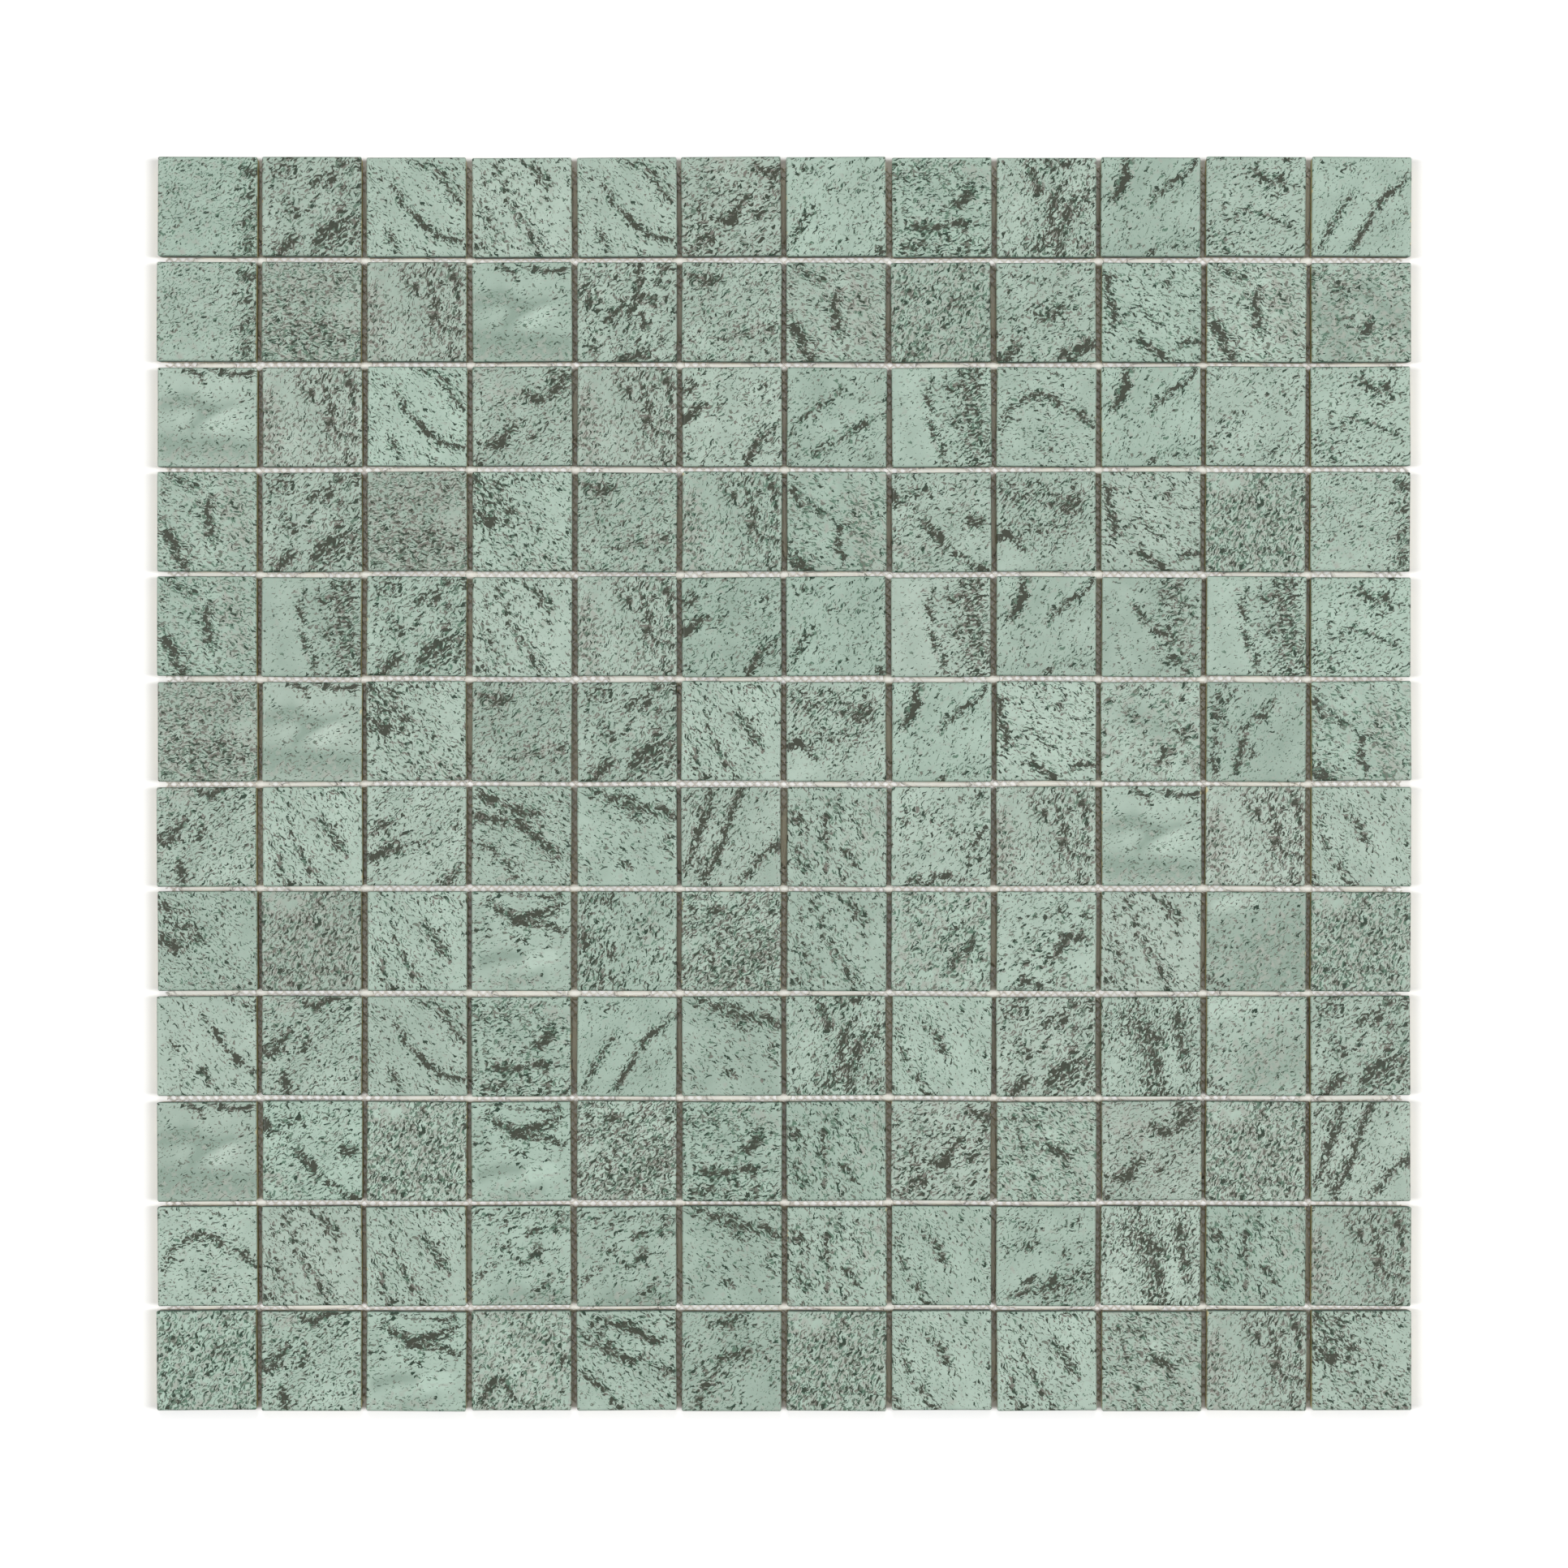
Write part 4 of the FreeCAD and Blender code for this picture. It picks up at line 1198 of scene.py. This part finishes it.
def glazed_porcelain(settings):
    """Pressed porcelain under a satin, inkjet-printed glaze.

    The glaze gives a soft sheen over a ground of mint that is greener on some tiles and warmer on others.
    The print lies under it: dark grains drawn out along the stone's flow, in clumps, paler flecks between
    them, grey haze, and ragged veins. The glaze thins and darkens over the arris and runs down the walls, and
    its dark colour there is partly painted shade: widest at the near and far edges and down their walls, and
    kept to a thinner line on left and right, which face the lamps. It stops at the bare, sandy body."""
    material, tree, shader = new_material("satin glazed stone-print porcelain")
    place = add(tree, "ShaderNodeAttribute", attribute_name="grain_place").outputs["Vector"]
    cover, gap, haze, tone, bare, rim, warmth = (
        add(tree, "ShaderNodeAttribute", attribute_name=name).outputs["Fac"]
        for name in ("grain_cover", "vein_gap", "haze", "tone", "bare", "rim", "warmth")
    )

    # The grains wander by about half a millimetre, so that their rows aren't straight.
    wander = add(
        tree, "ShaderNodeTexNoise", {"Vector": place, "Scale": 1 / WANDER_MM, "Detail": 1.0}
    )
    centred = add(
        tree, "ShaderNodeVectorMath", {0: wander.outputs["Color"], 1: (0.5, 0.5, 0.5)},
        operation="SUBTRACT",
    )
    bent = add(
        tree, "ShaderNodeVectorMath", {0: centred.outputs[0], 1: (2.0, 2.0, 0), 2: place},
        operation="MULTIPLY_ADD",
    ).outputs[0]

    # Clumps add to the print's own cover. The more cover, the lower the level above which a grain shows.
    clumps = noise(tree, bent, CLUMP_MM, 4.0, Roughness=0.6)
    clumped = times_plus(tree, clumps, 0.95, cover)
    veiled = times_plus(tree, haze, 0.3, clumped)
    layers = []
    for crowd, size, sparse, dense, soft in (
        (veiled, FLECK_MM, 0.62, 0.444, 0.04),
        (clumped, GRAIN_MM, 0.66, 0.454, 0.02),
    ):
        level = ramp(tree, crowd, 0.6, 1.325, sparse, dense)
        drawn_out = add(
            tree, "ShaderNodeMapping", {"Vector": bent, "Scale": (1 / size[0], 1 / size[1], 1)}
        ).outputs[0]
        grain = noise(tree, drawn_out, 1.0, 2.0, Roughness=0.6, Distortion=0.1)
        layers.append(ramp(tree, grain, level, times_plus(tree, level, 1.0, soft)))
    flecks, grains = layers

    # The veins' edges are ragged by about half a millimetre, and a vein breaks up between the clumps.
    ragged = noise(tree, bent, RAGGED_MM, 4.0, Roughness=0.6, Distortion=0.1)
    between = times_plus(tree, clumps, -2.0, gap)
    veins = ramp(tree, times_plus(tree, ragged, 3.4, between), 0.62, 0.48)

    # The ground: mint glaze that is deeper in places, then grey haze in patches.
    depth = times_plus(tree, noise(tree, place, CLOUD_MM, 3.0), -1.0, 0.9)
    depth = times_plus(tree, tone, -1.0, depth, clamp=True)
    patches = times_plus(tree, noise(tree, bent, PATCH_MM, 3.0), 5.0, -3.1)
    greyed = times_plus(tree, haze, 1.3, patches, clamp=True)

    # Flecks and grains are green or warm by patches, and warmer on the warmer tiles. Where the grains
    # crowd, they are browner.
    hue = ramp(tree, noise(tree, bent, HUE_MM, 2.0), 0.38, 0.62, -0.5, 0.5)
    hue = times_plus(tree, hue, 1.0, warmth, clamp=True)
    fleck = mixed(tree, hue, opaque(settings.fleck), opaque(settings.warm_fleck))
    brown = ramp(tree, clumped, 0.73, 1.2, -0.3, 0.6)
    brown = times_plus(tree, hue, 0.7, brown, clamp=True)
    speck = mixed(tree, brown, opaque(settings.speck), opaque(settings.vein))

    # The glaze over the arris and down the wall, darker there as thinned glaze and as painted shade, and
    # where it stops, uneven by a millimetre.
    edge = times_plus(tree, noise(tree, place, DRIP_MM, 2.0), 3.0, -1.5)
    glaze_and_painted_shade = ramp(tree, rim, 0.22, 0.0)
    ended = ramp(tree, times_plus(tree, edge, 1.0, bare), -0.15, 0.15)

    painted = opaque(settings.ground)
    for share, paint in (
        (warmth, opaque(settings.warm_ground)),
        (depth, opaque(settings.ground_deep)),
        (greyed, opaque(settings.haze)),
        (flecks, fleck),
        (grains, speck),
        (veins, opaque(settings.vein)),
        (glaze_and_painted_shade, opaque(settings.rim_glaze_and_shade)),
        (ended, opaque(settings.body)),
    ):
        painted = mixed(tree, share, painted, paint)
    tree.links.new(painted, shader.inputs["Base Color"])
    tree.links.new(ramp(tree, ended, 0.0, 1.0, 0.4, 0.9), shader.inputs["Roughness"])
    shader.inputs["Specular IOR Level"].default_value = 0.3
    return material


def fibre_yarn(settings):
    """Glass fibre yarn soaked in glue: a dull pinkish white, a little darker where the glue is thin."""
    material, tree, shader = new_material("glue-soaked glass fibre yarn")
    place = add(tree, "ShaderNodeTexCoord").outputs["Object"]
    thick = ramp(tree, noise(tree, place, 4 * MM, 3.0), 0.4, 0.65)
    painted = mixed(tree, thick, opaque(settings.yarn), opaque(settings.glue))
    tree.links.new(painted, shader.inputs["Base Color"])
    shader.inputs["Roughness"].default_value = 0.75
    return material


def dried_glue(settings):
    """Dried white dispersion glue: warm white and dull, faintly mottled where dust has settled."""
    material, tree, shader = new_material("dried white dispersion glue")
    place = add(tree, "ShaderNodeTexCoord").outputs["Object"]
    dust = ramp(tree, noise(tree, place, 2 * MM, 4.0), 0.45, 0.8, 0.0, 0.6)
    painted = mixed(tree, dust, opaque(settings.glue), opaque(settings.yarn))
    tree.links.new(painted, shader.inputs["Base Color"])
    shader.inputs["Roughness"].default_value = 0.55
    return material


def net_outline():
    """The net's cut edge as the frame has it: half its side, how far it reaches at the place where it shows
    past the tiles, and where that place starts and ends along y."""
    points = node_points(NET)
    inner = -points[:, 0].min()
    shown = points[points[:, 0] > inner + TINY]
    return inner, shown[:, 0].max(), shown[:, 1].min(), shown[:, 1].max()


YARN_STRAY = 0.05 * MM  # how far a yarn strays from its line
CUT_STRAY = 0.5 * MM  # how much shorter than the rest a yarn may be cut at either end


class MOSAIC_OT_backing_net(bpy.types.Operator):
    """Lays the slanting yarns of the backing net, cut off where the frame's net ends"""

    bl_idname = "mosaic.backing_net"
    bl_label = "Backing net"

    def execute(self, context):
        settings = context.scene.mosaic_net
        rng = np.random.default_rng(SEED + 1)
        inner, shown, low, high = net_outline()
        height, width = settings.yarn_height, settings.yarn_width
        thickness = max(corner.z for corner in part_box(NET))
        spacing = settings.yarn_spacing
        half = inner - width
        lines = np.arange(spacing / 2, math.sqrt(2) * half - spacing, spacing)
        lines = np.concatenate([-lines[::-1], lines])

        # Each yarn is the line y = slope x + cut, within the square, plus what shows on the right. There a
        # yarn goes on as far as the net does, and less far near the ends of that place.
        bars = []
        for slope, level in ((1, height / 2 + TINY), (-1, thickness - height / 2 - TINY)):
            cut = lines * math.sqrt(2) + rng.normal(0, YARN_STRAY, len(lines))
            start = np.maximum(-half, np.where(slope > 0, -half - cut, cut - half))
            stop = np.minimum(half, np.where(slope > 0, half - cut, cut + half))
            leaves = slope * half + cut
            spare = np.minimum(leaves - low, high - leaves) + 0.5 * (shown - inner)
            stop = stop + np.where(stop < half - TINY, 0, np.clip(spare, 0, shown - inner))
            start = start + rng.uniform(0, CUT_STRAY, len(lines))
            stop = stop - rng.uniform(0, CUT_STRAY, len(lines))
            bars.append((slope, cut, start, stop, np.full(len(lines), level)))
        slope = np.concatenate([np.full(len(lines), bar[0]) for bar in bars])
        cut, start, stop, level = (np.concatenate([bar[k] for bar in bars]) for k in range(1, 5))

        # Stations along each yarn, a run apart, with a small sideways stray at each.
        count = np.maximum(2, np.ceil((stop - start) * math.sqrt(2) / settings.run).astype(int) + 1)
        yarn = np.repeat(np.arange(len(cut)), count)
        first = np.repeat(np.cumsum(count) - count, count)
        order = np.arange(len(yarn)) - first
        share = order / (count[yarn] - 1)
        x = start[yarn] + share * (stop - start)[yarn]
        stray = rng.normal(0, YARN_STRAY, len(yarn)) / math.sqrt(2)
        y = slope[yarn] * x + cut[yarn] + stray
        x = x - slope[yarn] * stray
        middle = np.stack([x, y, level[yarn]], 1)
        side = np.stack([-slope[yarn], np.ones(len(yarn)), np.zeros(len(yarn))], 1) / math.sqrt(2)
        up = np.array((0, 0, 1))
        corners = [
            middle + side * a * width / 2 + up * b * height / 2
            for a, b in ((1, -1), (-1, -1), (-1, 1), (1, 1))
        ]
        points = np.stack(corners, 1).reshape(-1, 3)

        step = 4 * np.flatnonzero(order < count[yarn] - 1)
        faces = [
            np.stack([step + k, step + 4 + k, step + 4 + (k + 1) % 4, step + (k + 1) % 4], -1)
            for k in range(4)
        ]
        begin, end = 4 * np.flatnonzero(order == 0), 4 * np.flatnonzero(order == count[yarn] - 1)
        faces.append(begin[:, None] + np.array((0, 1, 2, 3)))
        faces.append(end[:, None] + np.array((3, 2, 1, 0)))
        net = add_piece(
            "backing_net_yarns", points, faces, [True] * 4 + [False] * 2, fibre_yarn(settings),
        )
        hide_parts(NET)
        return {"FINISHED"}


def lumps(middles, radii, high, rng):
    """Many low lumps of glue as one mesh: each is a dome over an uneven oval, with a flat underside.

    A dome's height falls by the fourth power of the share of the way out. The oval's reach varies by a
    tenth in two waves round it and by a little less in three. Its cosines and sines are raised to the
    power 0.7, which squares it up."""
    around = 14
    angle = np.arange(around) * 2 * math.pi / around
    phase = rng.uniform(0, 2 * math.pi, (2, len(middles), 1))
    wobble = 1 + 0.1 * np.sin(2 * angle + phase[0]) + 0.07 * np.sin(3 * angle + phase[1])
    cos, sin = (np.sign(part) * np.abs(part) ** 0.7 for part in (np.cos(angle), np.sin(angle)))
    oval = np.stack([wobble * radii[:, :1] * cos, wobble * radii[:, 1:] * sin], -1)
    loops = []
    for share, height in ((0.5, 1 - 0.5 ** 4), (0.85, 1 - 0.85 ** 4), (1, 0), (0.9, 0)):
        level = (TINY + (high - TINY) * height)[:, None, None]
        level = np.broadcast_to(level, oval.shape[:2] + (1,))
        loops.append(np.concatenate([middles[:, None] + share * oval, level], -1))
    points = np.stack(loops, 1).reshape(-1, 3)
    start = np.arange(len(middles))[:, None] * around * len(loops)
    here, there = np.arange(around), (np.arange(around) + 1) % around
    faces = [start + here, start + around * (len(loops) - 1) + here[::-1]]
    for ring in range(len(loops) - 1):
        inner, outer = start + ring * around, start + (ring + 1) * around
        band_faces = np.stack([inner + here, outer + here, outer + there, inner + there], -1)
        faces.append(band_faces.reshape(-1, 4))
    return points, faces


# Dabs of glue, in mm: how far each lies from a tile's middle along x and along y, how far it strays from
# there, and its radii.
DAB_PLACE, DAB_STRAY, DAB_RADIUS = 6, 1.2, (2.2, 3.2)
# Films of glue in the joints: the share of joints that have one, half its length and half its width in mm,
# how far it strays along its joint in mm, and its height.
FILM_SHARE, FILM_LONG, FILM_WIDE, FILM_STRAY, FILM_HEIGHT = 0.45, (4, 9), (0.85, 1.15), 1.5, 0.55 * MM
CROSSING_SHARE, CROSSING_RADIUS = 0.6, (1.2, 1.9)  # the same where four tiles meet
LOWEST = 0.75  # the lowest film's height, as a share of the highest one's


class MOSAIC_OT_glue(bpy.types.Operator):
    """Sets the dabs of glue under the tiles, and the films that have spread into some of the joints"""

    bl_idname = "mosaic.glue"
    bl_label = "Glue"

    def execute(self, context):
        settings = context.scene.mosaic_net
        rng = np.random.default_rng(SEED + 2)
        found = [read_tiles(name) for name in ROWS]
        middles = np.stack([row[0] for row in found])
        back = found[0][3]
        corners = np.array(((-1, -1), (1, -1), (-1, 1), (1, 1)))
        dabs = (middles[:, :, None] + corners * DAB_PLACE * MM).reshape(-1, 2)
        dabs = dabs + rng.uniform(-DAB_STRAY, DAB_STRAY, dabs.shape) * MM
        groups = [(dabs, DAB_RADIUS, DAB_RADIUS, back + 2 * TINY, 1)]

        # Films lie in the joints, between the middles of two tiles of a row or of a column.
        upright = ((middles[:, :-1] + middles[:, 1:]) / 2).reshape(-1, 2)
        level = ((middles[:-1] + middles[1:]) / 2).reshape(-1, 2)
        crossings = ((middles[:-1, :-1] + middles[1:, 1:]) / 2).reshape(-1, 2)
        for places, share, wide, long, height, strays in (
            (level, FILM_SHARE, FILM_LONG, FILM_WIDE, FILM_HEIGHT, (1, 0)),
            (upright, FILM_SHARE, FILM_WIDE, FILM_LONG, FILM_HEIGHT, (0, 1)),
            (crossings, CROSSING_SHARE, CROSSING_RADIUS, CROSSING_RADIUS, settings.dab_height, (0, 0)),
        ):
            chosen = places[rng.random(len(places)) < share]
            stray = rng.uniform(-FILM_STRAY, FILM_STRAY, chosen.shape) * strays * MM
            groups.append((chosen + stray, wide, long, height, LOWEST))
        flat, radii, high = [], [], []
        for places, wide, long, height, lowest in groups:
            flat.append(places)
            radii.append(
                np.stack([rng.uniform(*wide, len(places)), rng.uniform(*long, len(places))], 1) * MM
            )
            high.append(height * rng.uniform(lowest, 1, len(places)))
        flat, radii, high = (np.concatenate(part) for part in (flat, radii, high))
        points, faces = lumps(flat, radii, high, rng)
        add_piece(
            "glue", points, faces, [True] * len(faces), dried_glue(settings)
        )
        return {"FINISHED"}


WHITE = (1.0, 1.0, 1.0, 1.0)
FLOOR_REACH = 4.0  # metres from the floor's middle to its edges
# Over this reach outside the sheet the painted glow on the floor grows to full strength, lifting the sheet's
# shadow.
WHITE_AFTER = 4 * MM  # how far outside the sheet the floor is plain white to the camera
LAMP_AWAY, LAMP_LONG, LAMP_WIDE = 4.0, 2.4, 0.6  # metres
CLIP_NEAR, CLIP_FAR = 0.01, 20.0  # metres from the camera


class MOSAIC_OT_stage(bpy.types.Operator):
    """Sets up the floor, the even light, the lamps and the camera straight above the sheet"""

    bl_idname = "mosaic.stage"
    bl_label = "Stage"

    def execute(self, context):
        settings = context.scene.mosaic_stage
        scene = context.scene
        scene.view_settings.view_transform = "Standard"

        # The floor is white to the camera only, so that it throws no extra light on the tiles.
        material, tree, shader = new_material("matt white paper")
        seen = add(tree, "ShaderNodeLightPath").outputs["Is Camera Ray"]
        painted = mixed(tree, seen, opaque(settings.floor), WHITE)
        tree.links.new(painted, shader.inputs["Base Color"])
        # What is added to the white is a painted glow, seen only by the camera. It starts where the sheet
        # ends, so that the joints keep their shade, and grows to full strength a few mm outside, where it
        # paints out most of the sheet's shadow on the floor.
        spot = add(
            tree, "ShaderNodeVectorMath", {0: add(tree, "ShaderNodeTexCoord").outputs["Object"]},
            operation="ABSOLUTE",
        ).outputs[0]
        spot = add(tree, "ShaderNodeSeparateXYZ", {0: spot})
        apart = add(
            tree, "ShaderNodeMath", {0: spot.outputs["X"], 1: spot.outputs["Y"]}, operation="MAXIMUM"
        ).outputs[0]
        edge = CAD_BOX[1].y
        lift = ramp(tree, apart, edge, edge + WHITE_AFTER, 0.0, settings.floor_glow_over_shadow)
        glow = add(tree, "ShaderNodeMath", {0: seen, 1: lift}, operation="MULTIPLY")
        tree.links.new(glow.outputs[0], shader.inputs["Emission Strength"])
        shader.inputs["Emission Color"].default_value = WHITE
        shader.inputs["Roughness"].default_value = 1.0
        shader.inputs["Specular IOR Level"].default_value = 0.0
        mesh = bpy.data.meshes.new("floor")
        corners = np.array(((-1, -1, 0), (1, -1, 0), (1, 1, 0), (-1, 1, 0))) * FLOOR_REACH
        set_mesh(mesh, corners, [np.array(((0, 1, 2, 3),))], [False])
        mesh.materials.append(material)
        floor = bpy.data.objects.new("floor", mesh)
        scene.collection.objects.link(floor)

        # Each lamp is a panel that faces the sheet. It is narrow from side to side, so that what comes from
        # left and right reaches the floor of the level joints, and long the other way, so that shadows are
        # soft. Its power is its share of the light on a level face times pi squared times its distance
        # squared over the sine of its height.
        for name, share, height, turn in (
            ("lamp_left", 0.46 * settings.side_lamps, 57, 180),
            ("lamp_right", 0.54 * settings.side_lamps, 57, 0),
            ("lamp_far", settings.top_lamp, 50, 90),
        ):
            lamp = bpy.data.lights.new(name, "AREA")
            lamp.shape, lamp.size, lamp.size_y = "RECTANGLE", LAMP_LONG, LAMP_WIDE
            high, turn = math.radians(height), math.radians(turn)
            lamp.energy = share * math.pi ** 2 * LAMP_AWAY ** 2 / math.sin(high)
            holder = bpy.data.objects.new(name, lamp)
            holder.location = LAMP_AWAY * Vector(
                (math.cos(high) * math.cos(turn), math.cos(high) * math.sin(turn), math.sin(high))
            )
            holder.rotation_euler = (0, math.pi / 2 - high, turn)
            scene.collection.objects.link(holder)

        world = scene.world or bpy.data.worlds.new("room")
        scene.world = world
        world.use_nodes = True
        tree = world.node_tree
        tree.nodes.clear()
        seen = add(tree, "ShaderNodeLightPath").outputs["Is Camera Ray"]
        strength = ramp(tree, seen, 0.0, 1.0, settings.room, 1.0)
        backdrop = add(tree, "ShaderNodeBackground", {"Color": WHITE, "Strength": strength})
        add(tree, "ShaderNodeOutputWorld", {"Surface": backdrop.outputs[0]})

        high = CAD_BOX[1]
        eye = bpy.data.cameras.new("camera")
        eye.lens = eye.sensor_width * settings.distance / FRAME_SIDE
        eye.clip_start, eye.clip_end = CLIP_NEAR, CLIP_FAR
        camera = bpy.data.objects.new("camera", eye)
        camera.location = (0, 0, high.z + settings.distance)
        scene.collection.objects.link(camera)
        scene.camera = camera
        return {"FINISHED"}


class MOSAIC_PT_sheet(bpy.types.Panel):
    """Lists the pieces of the sheet and their settings"""

    bl_label = "Mosaic sheet"
    bl_idname = "MOSAIC_PT_sheet"
    bl_space_type = "VIEW_3D"
    bl_region_type = "UI"
    bl_category = "Mosaic"

    def draw(self, context):
        for operator, group in (
            ("mosaic.tile_rows", context.scene.mosaic_tiles),
            ("mosaic.backing_net", context.scene.mosaic_net),
            ("mosaic.glue", None),
            ("mosaic.stage", context.scene.mosaic_stage),
        ):
            self.layout.operator(operator)
            for name in getattr(group, "__annotations__", ()):
                self.layout.prop(group, name)


GROUPS = {
    "mosaic_tiles": TileSettings,
    "mosaic_net": NetSettings,
    "mosaic_stage": StageSettings,
}
CLASSES = (
    *GROUPS.values(),
    MOSAIC_OT_tile_rows,
    MOSAIC_OT_backing_net,
    MOSAIC_OT_glue,
    MOSAIC_OT_stage,
    MOSAIC_PT_sheet,
)


def register():
    """Adds the settings, the operators and the panel to Blender."""
    for part in CLASSES:
        bpy.utils.register_class(part)
    for name, group in GROUPS.items():
        setattr(bpy.types.Scene, name, bpy.props.PointerProperty(type=group))


def unregister():
    """Takes them away again, the last one first."""
    for name in GROUPS:
        delattr(bpy.types.Scene, name)
    for part in reversed(CLASSES):
        bpy.utils.unregister_class(part)


def main():
    """Registers the add-on, then builds every piece and the stage."""
    register()
    bpy.ops.mosaic.tile_rows()
    bpy.ops.mosaic.backing_net()
    bpy.ops.mosaic.glue()
    bpy.ops.mosaic.stage()


if __name__ == "__main__":
    main()
